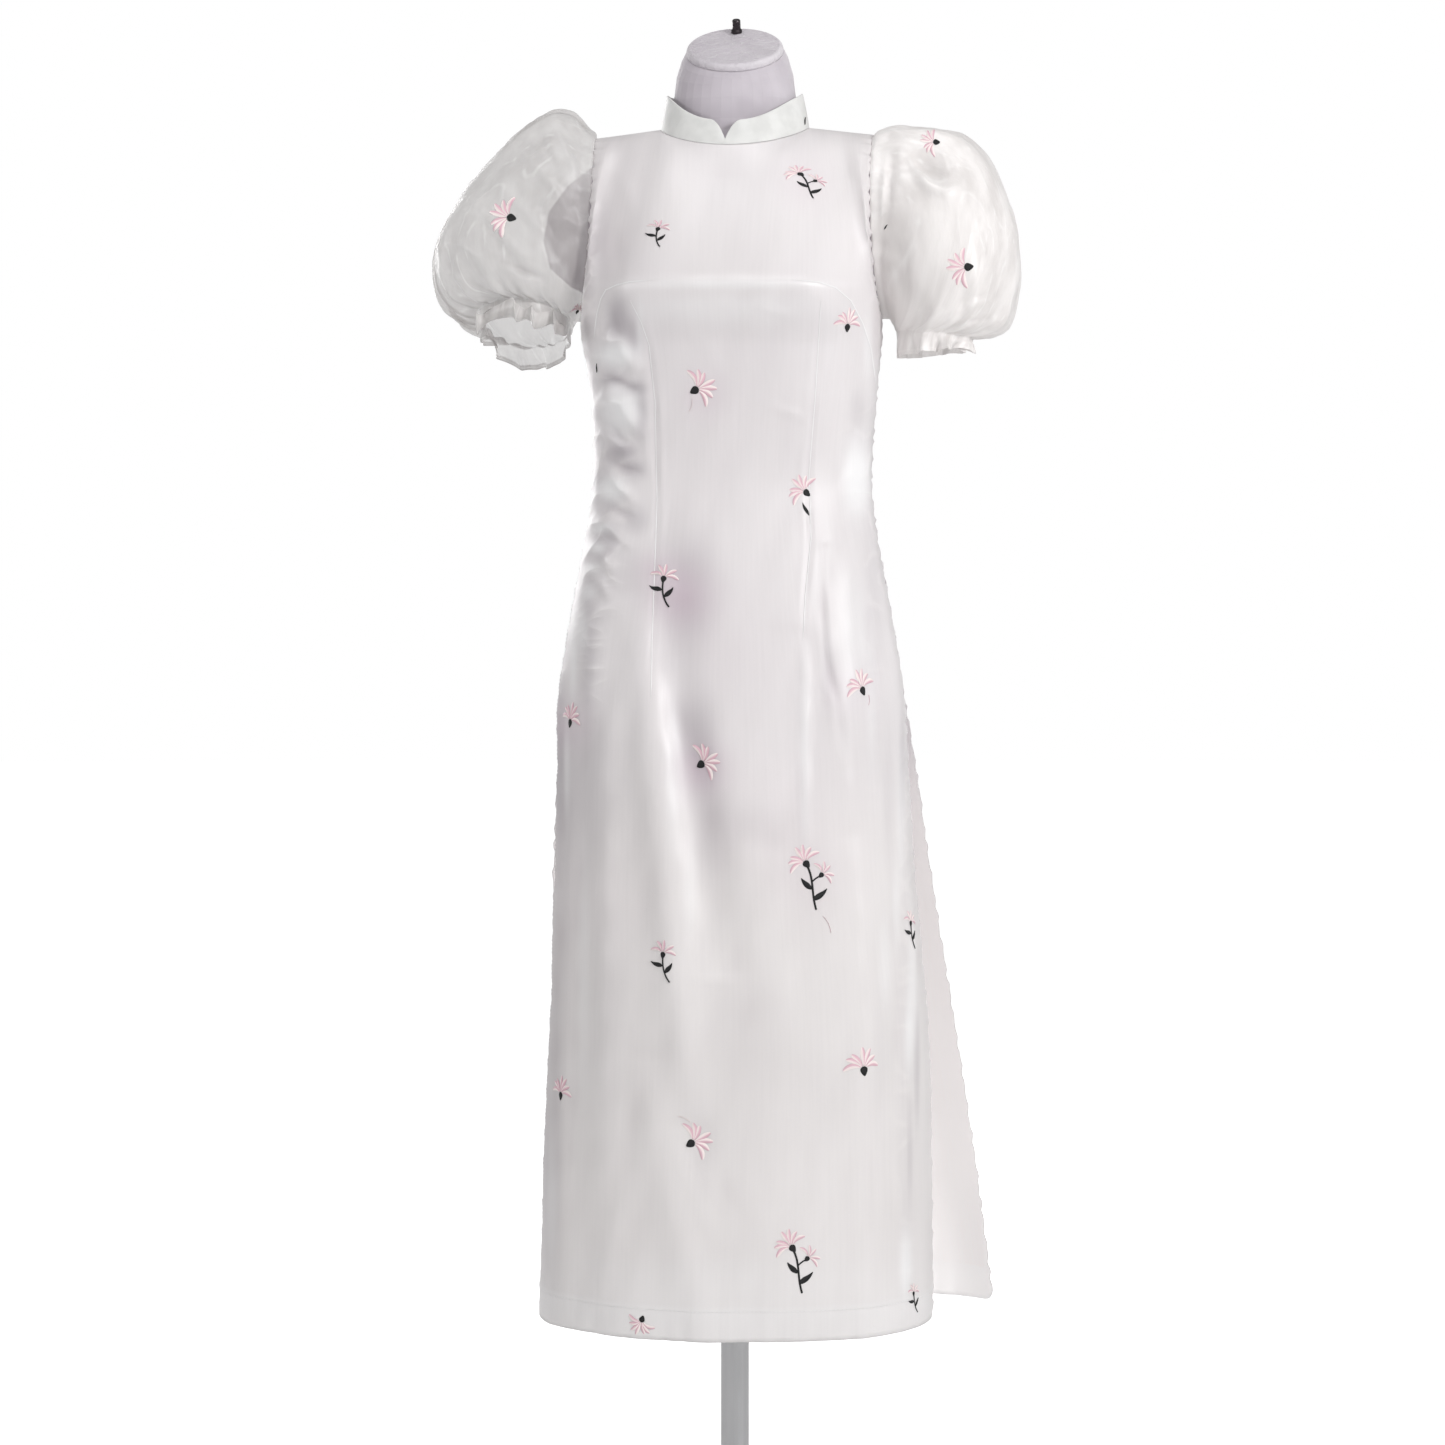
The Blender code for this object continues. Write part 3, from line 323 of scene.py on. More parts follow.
# Edge of the neck top: share of the radius, height. Its face inside that is slightly domed
neckCap = {
    "tilt": math.atan(0.65), "halfWidth": 0.0490, "halfLength": 0.0535, "planeZ": 1.476, "segments": 96,
    "edge": [(1.0, 0.0), (0.997, 0.0014), (0.988, 0.0030), (0.972, 0.0046), (0.95, 0.0058),
             (0.925, 0.0066), (0.90, 0.0070)],
    "face": {"rings": 11, "radius": 0.88, "step": 0.08, "height": 0.0068, "rise": 0.00008},
    "rim": 0.96, "rimWidth": 0.045,
}

# Sprigs of the front: across, down, kind, turn in degrees, size in millimetres
frontSprigs = [
    (806, 181, "low", 0, 62), (657, 233, "lowStem", 6, 36), (702, 386, "fan", 60, 27), (848, 320, "fan", -6, 24),
    (801, 488, "fan", -52, 24), (806, 509, "leaf", -38, 14), (663, 585, "stem", 4, 42), (860, 683, "fan", -26, 27),
    (707, 760, "fan", 58, 27), (811, 877, "pair", 0, 63), (571, 715, "fan", 12, 26), (663, 961, "stem", 0, 41),
    (911, 929, "stem", 4, 38), (698, 1139, "fan", 58, 27), (863, 1062, "fan", -8, 28), (561, 1088, "fan", 4, 25),
    (797, 1261, "pair", 0, 62), (640, 1325, "fan", 200, 20), (914, 1298, "stem", -4, 30),
    (690, 405, "thread", 20, 12), (826, 925, "thread", -20, 18), (684, 1120, "thread", -60, 14),
    (868, 700, "thread", 10, 10), (597, 368, "leaf", 10, 9), (582, 552, "leaf", 160, 10), (886, 577, "leaf", 10, 9),
    (551, 915, "leaf", 5, 16),
]

# Sprigs of the back, placed as its creases are
backSprigs = [
    (640, 220, "pair", -8, 46), (812, 232, "fan", -56, 32), (690, 360, "fan", 64, 32),
    (850, 330, "fan", 6, 31), (612, 372, "stem", 4, 38), (790, 470, "stem", -6, 40),
    (640, 560, "fan", -12, 32), (850, 590, "pair", 0, 60), (700, 740, "fan", 62, 32),
    (596, 700, "stem", 4, 40), (800, 800, "fan", -20, 32), (640, 900, "pair", 0, 62),
    (866, 930, "fan", 10, 32), (776, 1004, "stem", 0, 40), (566, 1060, "fan", -12, 32),
    (690, 1140, "fan", 60, 32), (840, 1160, "pair", 0, 62), (610, 1230, "stem", 0, 40),
    (760, 1262, "fan", -20, 32),
]


# Shapes of the panels, worked out from their sections


def smoothStep(low, high, value):
    share = np.clip((value - low) / (high - low), 0.0, 1.0)
    return share * share * (3.0 - 2.0 * share)


def cubic(start, startSlope, end, endSlope, t):
    return (
        start * (2 * t**3 - 3 * t**2 + 1)
        + startSlope * (t**3 - 2 * t**2 + t)
        + end * (-2 * t**3 + 3 * t**2)
        + endSlope * (t**3 - t**2)
    )


def readTable(rows, z):
    rows = np.array(rows)
    z = np.clip(z, rows[0, 0], rows[-1, 0])
    index = np.clip(np.searchsorted(rows[:, 0], z) - 1, 0, len(rows) - 2)
    before = rows[np.maximum(index - 1, 0)]
    low = rows[index]
    high = rows[index + 1]
    after = rows[np.minimum(index + 2, len(rows) - 1)]
    span = (high[..., :1] - low[..., :1])
    t = (z[..., None] - low[..., :1]) / span
    slopeLow = (high - before) / (high[..., :1] - before[..., :1]) * span
    slopeHigh = (after - low) / (after[..., :1] - low[..., :1]) * span
    return cubic(low, slopeLow, high, slopeHigh, t)


def sectionPoint(values, share, steps=40):
    angle = np.linspace(0.0, math.pi / 2, steps + 1)
    power = 2.0 / values[..., 5:6]
    edgeY = np.where(values[..., 0:1] < body["slitTopZ"], values[..., 4:5], 0.0)
    across = values[..., 1:2] * np.sin(angle) ** power
    along = edgeY + (values[..., 3:4] - edgeY) * np.maximum(np.cos(angle), 0.0) ** power
    lengths = np.cumsum(np.hypot(np.diff(across), np.diff(along)), axis=-1)
    lengths = np.concatenate([np.zeros_like(lengths[..., :1]), lengths], axis=-1)
    wanted = np.abs(share) * lengths[..., -1]
    index = np.clip((lengths < wanted[..., None]).sum(-1) - 1, 0, steps - 1)[..., None]
    pick = lambda table, at: np.take_along_axis(table, at, -1)[..., 0]
    start = pick(lengths, index)
    part = (wanted - start) / (pick(lengths, index + 1) - start)
    x = pick(across, index) * (1.0 - part) + pick(across, index + 1) * part
    y = pick(along, index) * (1.0 - part) + pick(along, index + 1) * part
    return values[..., 2] + np.copysign(x, share), y


def bodyPoint(face, share, z):
    x, y = sectionPoint(readTable(face["sections"], z), share)
    return np.stack([x, y, z], axis=-1)


def hemZ(share):
    return body["hemZ"] + body["hemCorner"] * smoothStep(0.90, 1.0, np.abs(share)) ** 2


def chestZ(share):
    return body["chestZ"] + body["underarmRise"] * smoothStep(0.5, 1.0, np.abs(share))


def topPoint(face, share):
    side = np.copysign(1.0, share)
    size = np.abs(share)
    neck = body["neckShare"]
    angle = 0.5 * math.pi * np.minimum(size / neck, 1.0)
    neckSide = body["neckSide"]
    middle = face["neckMiddle"]
    level = np.clip(np.cos(angle), 0.0, 1.0)
    x = neckSide[0] * np.sin(angle)
    y = neckSide[1] * (1.0 - level) + middle[1] * level
    z = neckSide[2] * (1.0 - level**1.3) + middle[2] * level**1.3
    along = np.maximum((size - neck) / (1.0 - neck), 0.0)
    tip = body["shoulderTip"]
    beyond = size > neck
    x = np.where(beyond, neckSide[0] + (tip[0] - neckSide[0]) * along, x)
    y = np.where(beyond, neckSide[1] + (tip[1] - neckSide[1]) * along, y)
    z = np.where(beyond, neckSide[2] + (tip[2] - neckSide[2]) * along, z)
    return np.stack([x * side, y, z], axis=-1)


def unit(vectors):
    return vectors / np.maximum(np.linalg.norm(vectors, axis=-1, keepdims=True), 1e-12)


def chestPoint(face, share, rise):
    side = np.copysign(1.0, share)
    facing = face["facing"]
    startZ = chestZ(share)
    start = bodyPoint(face, share, startZ)
    below = bodyPoint(face, share, startZ - 0.01)
    end = topPoint(face, share)
    length = np.linalg.norm(end - start, axis=-1, keepdims=True)
    armhole = smoothStep(0.6, 1.0, np.abs(share))[..., None]
    shoulder = smoothStep(0.0, body["neckShare"], np.abs(share))[..., None]
    ones = np.ones_like(side)
    roundArm = np.stack([-0.16 * side, 0.90 * facing * ones, 0.43 * ones], axis=-1)
    leave = unit(unit(start - below) * (1.0 - armhole) + roundArm * armhole)
    overNeck = np.stack([0.0 * ones, -face["neckSlope"] * facing * ones, 0.9 * ones], axis=-1)
    overShoulder = np.stack([0.06 * side * armhole[..., 0], -1.0 * facing * ones, 0.14 * ones], axis=-1)
    arrive = unit(overNeck * (1.0 - shoulder) + overShoulder * shoulder)
    pull = length * (1.0 + 0.4 * armhole)
    return cubic(start, leave * pull, end, arrive * pull, rise[..., None])


def foldOffset(folds, x, z):
    offset = np.zeros_like(x)
    for topZ, bottomZ, topX, bottomX, width, rise in folds:
        share = np.clip((topZ - z) / (topZ - bottomZ), 0.0, 1.0)
        middle = topX + (bottomX - topX) * share
        fade = np.sin(math.pi * share) ** 0.5
        offset += rise * fade * np.exp(-(((x - middle) / width) ** 2))
    return offset


def bustOffset(x, z):
    bust = body["bust"]
    side = 1.0 - smoothStep(bust["flatX"], bust["endX"], np.abs(x))
    above = np.maximum(1.0 - (z - bust["z"]) / bust["above"], 0.0) ** 1.3
    below = 1.0 - smoothStep(0.0, bust["below"], bust["z"] - z)
    return bust["rise"] * side * np.where(z >= bust["z"], np.minimum(above, 1.0), below)


# Offset of soft creases, each a line of points across a picture of the cloth
def creaseOffset(creases, across, down):
    offset = np.zeros_like(across)
    for path, width, rise in creases:
        pieces = list(zip(path, path[1:]))
        lengths = [math.dist(a, b) for a, b in pieces]
        total = sum(lengths)
        nearest = np.full_like(across, 1e9)
        share = np.zeros_like(across)
        passed = 0.0
        for (a, b), length in zip(pieces, lengths):
            dx = (b[0] - a[0]) / length
            dy = (b[1] - a[1]) / length
            along = np.clip((across - a[0]) * dx + (down - a[1]) * dy, 0.0, length)
            away = np.hypot(across - a[0] - dx * along, down - a[1] - dy * along)
            closer = away < nearest
            nearest = np.where(closer, away, nearest)
            share = np.where(closer, (passed + along) / total, share)
            passed += length
        fade = np.sin(math.pi * np.clip(share, 0.0, 1.0)) ** 0.6
        swell = 1.0 + 0.25 * np.sin(total * share * 0.11 + width)
        offset += 0.001 * rise * fade * swell * np.exp(-((nearest / width) ** 2))
    return offset


# Where the camera sees a point, in picture units
def seenAt(points):
    turn = math.radians(view["azimuth"])
    offset = points - np.array(view["centre"])
    right = offset[..., 0] * math.cos(turn) + offset[..., 1] * math.sin(turn)
    near = offset[..., 0] * math.sin(turn) - offset[..., 1] * math.cos(turn)
    scale = view["size"] * view["lens"] / view["sensor"] / (view["distance"] - near)
    return view["size"] / 2 + right * scale, view["size"] / 2 - offset[..., 2] * scale


def backSeenAt(points):
    scale = backView["scale"]
    return backView["middle"] + scale * points[..., 0], backView["floor"] - scale * points[..., 2]


def gridNormals(grid, closed=False):
    if closed:
        acrossStep = np.roll(grid, -1, axis=1) - np.roll(grid, 1, axis=1)
    else:
        acrossStep = np.gradient(grid, axis=1)
    return unit(np.cross(acrossStep, np.gradient(grid, axis=0)))


# Irregular waves that go on without repeating
def ripple(value, length, seed=0.0):
    turn = 2.0 * math.pi * value / length
    return 0.6 * np.sin(turn + 1.1 * np.sin(turn * 0.37 + seed)) + 0.4 * np.sin(turn * 1.71 + seed * 2.3)


# Sharp-edged crumples of crisp cloth, 0 to 1
def crumpleOf(points, size, seed):
    rng = np.random.default_rng(seed)
    total = np.zeros(points.shape[:-1])
    warped = points + 0.25 * size * np.sin(points[..., [1, 2, 0]] * 2.0 * math.pi / (size * 1.7) + seed)
    for _ in range(6):
        way = rng.normal(size=3)
        way /= np.linalg.norm(way)
        total += np.abs(np.sin(warped @ way * math.pi / size + rng.uniform(0.0, 6.28)))
    return total / 6


def panelGrid(face, shares):
    shares = np.array(shares)
    skirtRows, waistRows, chestRows = body["rows"]
    slitTop = body["slitTopZ"]
    low = hemZ(shares)
    up = (np.arange(skirtRows) / skirtRows)[:, None]
    skirtZ = low * (1.0 - up) + slitTop * up
    up = (np.arange(waistRows) / waistRows)[:, None]
    waistZ = slitTop * (1.0 - up) + chestZ(shares) * up
    lowerZ = np.concatenate([skirtZ, waistZ])
    lower = bodyPoint(face, np.broadcast_to(shares, lowerZ.shape), lowerZ)
    rise = np.broadcast_to((np.arange(chestRows + 1) / chestRows)[:, None], (chestRows + 1, len(shares)))
    upper = chestPoint(face, np.broadcast_to(shares, rise.shape), rise)
    grid = np.concatenate([lower, upper])
    facing = face["facing"]
    push = facing * foldOffset(face["folds"], grid[..., 0], grid[..., 2])
    if facing < 0:
        push = push - bustOffset(grid[..., 0], grid[..., 2])
    grid[..., 1] += push + facing * body["seamGap"] / 2
    return grid


def outwardNormals(grid, facing):
    normals = gridNormals(grid)
    middle = normals[len(grid) // 2, grid.shape[1] // 2]
    if middle[1] * facing < 0.0:
        normals = -normals
    return normals


# Evens out the corner that the end of the neckline leaves in the yoke
def smoothYoke(grid, shares, rounds=70):
    first = body["rows"][0] + body["rows"][1]
    rows = len(grid) - first
    rise = (np.arange(rows) / (rows - 1))[:, None]
    size = np.abs(np.array(shares))[None, :]
    weight = smoothStep(0.0, 0.25, rise) * smoothStep(0.0, 0.30, 1.0 - rise) * (1.0 - smoothStep(0.72, 0.9, size))
    if size.min() < 1e-9 and size[0, 0] < 1e-9:
        weight = weight * smoothStep(0.0, 0.08, size)
    weight = weight[..., None] * 0.5
    part = grid[first:].copy()
    for _ in range(rounds):
        even = part.copy()
        even[:, 1:-1] = 0.5 * part[:, :-2] + 0.5 * part[:, 2:]
        part = part + (even - part) * weight
    grid = grid.copy()
    grid[first:] = part
    return grid


def bandEdge(at, soft, value):
    return smoothStep(at - soft, at + soft, value)


# Fine drape over the panel's main shape: creases, puckered seams, hems
def drapePanel(face, shares, plain):
    facing = face["facing"]
    grid = plain.copy()
    normals = outwardNormals(plain, facing)
    x, z = plain[..., 0], plain[..., 2]
    shares = np.broadcast_to(np.array(shares), x.shape)
    edge = 1.0 - np.abs(shares)
    fromSeam = edge * body["halfWidth"]
    rowUp = np.linspace(0.0, 1.0, len(grid))[:, None] * np.ones_like(x)
    chestStart = (body["rows"][0] + body["rows"][1]) / (sum(body["rows"]))
    nearTop = np.clip((1.0 - rowUp) / 0.03, 0.0, 1.0)
    free = smoothStep(0.0, 0.05, edge)
    above = smoothStep(body["slitTopZ"] - 0.01, body["slitTopZ"] + 0.01, z)
    across, down = seenAt(plain) if facing < 0 else backSeenAt(plain)
    offset = creaseOffset(face["creases"], across, down)
    offset *= np.where(z < body["slitTopZ"], 1.0, free) * smoothStep(0.0, 1.0, nearTop)
    wave = drape["uneven"]
    offset += wave["rise"] * ripple(x * 1000 + 0.35 * down, wave["length"], 1.0) * free * smoothStep(0.0, 1.0, nearTop)
    # Side seams above the slits
    wave = drape["sideSeam"]
    seam = (rowUp < chestStart) * above * np.exp(-fromSeam / wave["reach"])
    offset += wave["rise"] * ripple(z, wave["length"], np.sign(shares)) * seam
    offset -= wave["dip"] * above * np.exp(-((fromSeam / wave["width"]) ** 2))
    # Slit hems and the bottom hem
    below = 1.0 - above
    hemUp = z - hemZ(shares)
    slit, hem = drape["slit"], drape["hem"]
    slitBand = below * (1.0 - bandEdge(body["slitHem"], slit["soft"], fromSeam))
    bottomBand = 1.0 - bandEdge(body["hemDepth"], hem["soft"], hemUp)
    band = np.maximum(slitBand, bottomBand)
    offset += drape["bandRise"] * band
    offset += slit["rise"] * below * np.exp(-fromSeam / slit["reach"]) * ripple(z, slit["length"], 2.0 * facing)
    offset += hem["rise"] * np.exp(-hemUp / hem["reach"]) * ripple(x, hem["length"], 3.0)
    # Gathers of the panel's edge beside the armhole
    wave = drape["armhole"]
    above = (rowUp >= chestStart) * smoothStep(0.0, 1.0, nearTop)
    waves = ripple(rowUp * 1.1, wave["length"], 1.0 + np.sign(shares))
    offset += wave["rise"] * above * np.exp(-fromSeam / wave["reach"]) * waves
    grid += normals * offset[..., None]
    return grid, band, 0.5 + 0.5 * np.tanh(offset / drape["reliefScale"])


# Meshes


def addPiece(name, points, faces, materials, uv=None, floats=None):
    bm = bmesh.new()
    verts = [bm.verts.new(p) for p in points]
    for face in faces:
        bm.faces.new([verts[i] for i in face])
    mesh = bpy.data.meshes.new(name)
    bm.to_mesh(mesh)
    bm.free()
    for material in materials:
        mesh.materials.append(material)
    mesh.shade_smooth()
    if uv is not None:
        layer = mesh.uv_layers.new(name="uv")
        loops = np.empty(len(mesh.loops), dtype=np.int32)
        mesh.loops.foreach_get("vertex_index", loops)
        layer.data.foreach_set("uv", np.asarray(uv, dtype=np.float32)[loops].ravel())
    for key, values in (floats or {}).items():
        attribute = mesh.attributes.new(key, "FLOAT", "POINT")
        attribute.data.foreach_set("value", np.asarray(values, dtype=np.float32).ravel())
    thing = bpy.data.objects.new(name, mesh)
    bpy.context.scene.collection.objects.link(thing)
    return thing


def gridFaces(rows, columns, closed=False, flip=False):
    faces = []
    for row in range(rows - 1):
        for column in range(columns if closed else columns - 1):
            after = (column + 1) % columns
            low, high = row * columns, (row + 1) * columns
            quad = (low + column, low + after, high + after, high + column)
            faces.append(quad[::-1] if flip else quad)
    return faces


def thicken(thing, thickness):
    solid = thing.modifiers.new("thickness", "SOLIDIFY")
    solid.material_offset = 1
    solid.thickness = thickness
    solid.offset = -1.0
    solid.use_even_offset = False


def faceOutwards(piece):
    bm = bmesh.new()
    bm.from_mesh(piece.data)
    bmesh.ops.recalc_face_normals(bm, faces=bm.faces)
    bm.to_mesh(piece.data)
    bm.free()


# Length along each column of a grid, from its first row
def lengthsOf(grid):
    steps = np.linalg.norm(np.diff(grid, axis=0), axis=-1)
    return np.concatenate([np.zeros((1, grid.shape[1])), np.cumsum(steps, axis=0)])


def surfaceOf(points, faces):
    return BVHTree.FromPolygons([Vector(p) for p in points], faces)


# Materials


def newMaterial(name, colour, roughness, **sockets):
    material = bpy.data.materials.new(name)
    material.use_nodes = True
    tree = material.node_tree
    shader = tree.nodes["Principled BSDF"]
    shader.inputs["Base Color"].default_value = (*colour, 1.0)
    shader.inputs["Roughness"].default_value = roughness
    for key, value in sockets.items():
        shader.inputs[key.replace("_", " ")].default_value = value
    return material, tree, shader


def addNode(tree, kind, **values):
    node = tree.nodes.new(kind)
    for key, value in values.items():
        if hasattr(node, key):
            setattr(node, key, value)
        else:
            node.inputs[key.replace("_", " ")].default_value = value
    return node


def mixColour(tree, factor, first, second, blend="MIX"):
    node = tree.nodes.new("ShaderNodeMix")
    node.data_type = "RGBA"
    node.blend_type = blend
    for socket, value in ((node.inputs["Factor"], factor), (node.inputs["A"], first), (node.inputs["B"], second)):
        if isinstance(value, bpy.types.NodeSocket):
            tree.links.new(value, socket)
        elif isinstance(value, float):
            socket.default_value = value
        else:
            socket.default_value = (*value, 1.0)
    return [s for s in node.outputs if s.type == "RGBA"][0]


def multiplied(tree, first, second):
    node = addNode(tree, "ShaderNodeMath", operation="MULTIPLY")
    for socket, value in zip(node.inputs, (first, second)):
        if isinstance(value, bpy.types.NodeSocket):
            tree.links.new(value, socket)
        else:
            socket.default_value = value
    return node.outputs["Value"]


def mapRange(tree, value, low, high, start=0.0, end=1.0, smooth=False):
    node = addNode(tree, "ShaderNodeMapRange", interpolation_type="SMOOTHSTEP" if smooth else "LINEAR")
    for key, number in (("From Min", start), ("From Max", end), ("To Min", low), ("To Max", high)):
        node.inputs[key].default_value = number
    tree.links.new(value, node.inputs["Value"])
    return node.outputs["Result"]


def attributeOf(tree, key):
    return addNode(tree, "ShaderNodeAttribute", attribute_name=key).outputs["Fac"]


def objectPlace(tree):
    return tree.nodes.new("ShaderNodeTexCoord").outputs["Object"]


def ownUv(tree):
    return tree.nodes.new("ShaderNodeUVMap").outputs["UV"]


def stretchedNoise(tree, coordinates, stretch, scale, detail=3.0, kind="FBM"):
    mapping = addNode(tree, "ShaderNodeMapping")
    mapping.inputs["Scale"].default_value = stretch
    tree.links.new(coordinates, mapping.inputs["Vector"])
    noise = addNode(tree, "ShaderNodeTexNoise", noise_type=kind, Scale=scale, Detail=detail)
    if kind == "RIDGED_MULTIFRACTAL":
        noise.inputs["Offset"].default_value = 1.0
    tree.links.new(mapping.outputs["Vector"], noise.inputs["Vector"])
    return noise.outputs["Fac"]


def rampOf(tree, factor, stops):
    node = tree.nodes.new("ShaderNodeValToRGB")
    ramp = node.color_ramp
    ramp.interpolation = "B_SPLINE" if len(stops) > 4 else "EASE"
    while len(ramp.elements) < len(stops):
        ramp.elements.new(0.5)
    for element, (place, colour) in zip(ramp.elements, stops):
        element.position = place
        element.color = (*colour, 1.0)
    tree.links.new(factor, node.inputs["Fac"])
    return node.outputs["Color"]


def addBump(tree, shader, heights):
    last = None
    for height, strength, distance in heights:
        node = addNode(tree, "ShaderNodeBump", Strength=strength, Distance=distance)
        tree.links.new(height, node.inputs["Height"])
        if last is not None:
            tree.links.new(last, node.inputs["Normal"])
        last = node.outputs["Normal"]
    tree.links.new(last, shader.inputs["Normal"])


white = (1.0, 1.0, 1.0)
# Colours of the satin, among them painted shade for its hollows, crumples and darker places, painted highlights, and a
# painted glow for its inner side
satinLook = {
    "ground": ((0.812, 0.780, 0.772), (0.883, 0.852, 0.843)),
    "nearForm": (0.74, 0.70, 0.75), "nearShare": 0.30,
    "shade": (0.40, 0.365, 0.395),
    "hollowShade": (0.72, 0.69, 0.71), "level": (0.95, 0.945, 0.95),
    "crumplesAndShade": (0.48, 0.445, 0.475), "crumpleShadeShare": 0.32,
    "paintedHighlight": (0.965, 0.96, 0.965),
    "blush": (0.62, 0.49, 0.57),
    "band": (0.90, 0.895, 0.90), "bandShare": 0.30,
    "dull": 0.50, "shiny": 0.29, "glow": (1.0, 0.985, 0.98, 1.0), "insideGlow": 0.26,
}


# Pearly satin. Its inner side carries a painted glow, standing in for light that comes through thin cloth lit from
# outside
def satinMaterial(name, glow):
    look = satinLook
    material, tree, shader = newMaterial(
        name, (0.80, 0.79, 0.80), 0.34,
        Anisotropic=0.45, Sheen_Weight=0.15, Sheen_Roughness=0.35, Specular_IOR_Level=0.5,
        Emission_Color=look["glow"], Emission_Strength=glow,
    )
    uv = ownUv(tree)
    known = {key: attributeOf(tree, key) for key in ("band", "blush", "shade", "paintedHighlight", "near", "relief", "crumple")}
    cloud = stretchedNoise(tree, uv, (1.0, 0.55, 1.0), 9.0, 2.0)
    slub = stretchedNoise(tree, uv, (1.0, 9.0, 1.0), 320.0, 2.0)
    streak = stretchedNoise(tree, uv, (60.0, 1.6, 1.0), 6.0, 3.0)
    yarn = stretchedNoise(tree, uv, (14.0, 1.0, 1.0), 260.0, 1.0)
    soft = stretchedNoise(tree, uv, (1.0, 0.3, 1.0), 55.0, 2.0)
    crumplesAndShade = stretchedNoise(tree, uv, (0.55, 1.0, 1.0), 34.0, 1.6, "RIDGED_MULTIFRACTAL")
    base = rampOf(tree, cloud, [(0.25, look["ground"][0]), (0.75, look["ground"][1])])
    base = mixColour(tree, multiplied(tree, known["near"], look["nearShare"]), base, look["nearForm"])
    # Painted shade on the darker places
    base = mixColour(tree, known["shade"], base, look["shade"])
    # Painted shade darkens the hollows of the drape, and its ridges are painted lighter
    hollowShade = rampOf(tree, known["relief"], [(0.0, look["hollowShade"]), (0.5, look["level"]), (1.0, white)])
    base = mixColour(tree, 1.0, base, hollowShade, "MULTIPLY")
    # Painted shade in the valleys of the fine crumples
    valleyShade = mapRange(tree, crumplesAndShade, look["crumpleShadeShare"], 0.0, 0.80, 1.35, True)
    base = mixColour(tree, multiplied(tree, valleyShade, known["crumple"]), base, look["crumplesAndShade"])
    # Painted highlights where the satin shines brightly
    base = mixColour(tree, known["paintedHighlight"], base, look["paintedHighlight"])
    base = mixColour(tree, known["blush"], base, look["blush"])
    base = mixColour(tree, multiplied(tree, known["band"], look["bandShare"]), base, look["band"])
    for thread, depth in ((slub, 0.95), (streak, 0.94)):
        fine = mixColour(tree, thread, (depth, depth, depth), white)
        base = mixColour(tree, 1.0, base, fine, "MULTIPLY")
    tree.links.new(base, shader.inputs["Base Color"])
    rough = mapRange(tree, known["relief"], look["dull"], look["shiny"], smooth=True)
    tree.links.new(rough, shader.inputs["Roughness"])
    creased = multiplied(tree, crumplesAndShade, known["crumple"])
    addBump(tree, shader, [
        (creased, 0.6, 0.0026), (soft, 0.30, 0.0014), (streak, 0.06, 0.0004), (slub, 0.16, 0.0002), (yarn, 0.14, 0.0002)])
    return material


# Colours of the organza, among them painted shade for its hollows, painted highlights along its creases, and a painted
# glow
organzaLook = {
    "ground": ((0.705, 0.678, 0.664), (0.875, 0.852, 0.840)),
    "yarn": (0.92, 0.92, 0.92),
    "hollowShade": (0.62, 0.60, 0.60), "level": (0.93, 0.92, 0.92),
    "creaseHighlight": (0.96, 0.95, 0.94), "creaseHighlightShare": 0.34,
    "hemCover": 0.97, "dull": 0.50, "shiny": 0.29, "glow": (1.0, 0.985, 0.98, 1.0),
}


# Sheer crisp organza, thicker to the eye at its hem
def organzaMaterial(name, alpha, lightingTone, glow=0.0):
    look = organzaLook
    material, tree, shader = newMaterial(
        name, (0.80, 0.79, 0.80), 0.38,
        Anisotropic=0.3, Sheen_Weight=0.35, Sheen_Roughness=0.4, Specular_IOR_Level=0.6, Alpha=alpha,
        Emission_Color=look["glow"], Emission_Strength=glow,
    )
    uv = ownUv(tree)
    cloud = stretchedNoise(tree, uv, (1.0, 1.0, 1.0), 26.0, 4.0)
    yarn = stretchedNoise(tree, uv, (1.0, 8.0, 1.0), 300.0, 2.0)
    crumple = stretchedNoise(tree, uv, (1.0, 0.6, 1.0), 60.0, 4.0)
    edges = stretchedNoise(tree, uv, (1.0, 0.6, 1.0), 32.0, 2.0, "RIDGED_MULTIFRACTAL")
    # The tone makes a darker copy of the cloth for the sleeve turned from the light and a brighter copy for the lit
    # one: painted shade and painted light
    dark, light = (tuple(c * lightingTone for c in colour) for colour in look["ground"])
    base = rampOf(tree, cloud, [(0.3, dark), (0.7, light)])
    base = mixColour(tree, 1.0, base, mixColour(tree, yarn, look["yarn"], white), "MULTIPLY")
    relief = attributeOf(tree, "relief")
    cover = mapRange(tree, attributeOf(tree, "hem"), alpha, look["hemCover"])
    tree.links.new(cover, shader.inputs["Alpha"])
    # Painted shade darkens the hollows, and the ridges are painted lighter
    hollowShade = rampOf(tree, relief, [(0.0, look["hollowShade"]), (0.5, look["level"]), (1.0, white)])
    base = mixColour(tree, 1.0, base, hollowShade, "MULTIPLY")
    # Painted highlights along the sharp creases
    paintedCreaseLines = mapRange(tree, edges, 0.0, look["creaseHighlightShare"], 1.25, 1.70, True)
    base = mixColour(tree, paintedCreaseLines, base, look["creaseHighlight"])
    tree.links.new(base, shader.inputs["Base Color"])
    tree.links.new(mapRange(tree, relief, look["dull"], look["shiny"]), shader.inputs["Roughness"])
    addBump(tree, shader, [(edges, 0.22, 0.0016), (crumple, 0.45, 0.0026), (yarn, 0.2, 0.0002)])
    return material


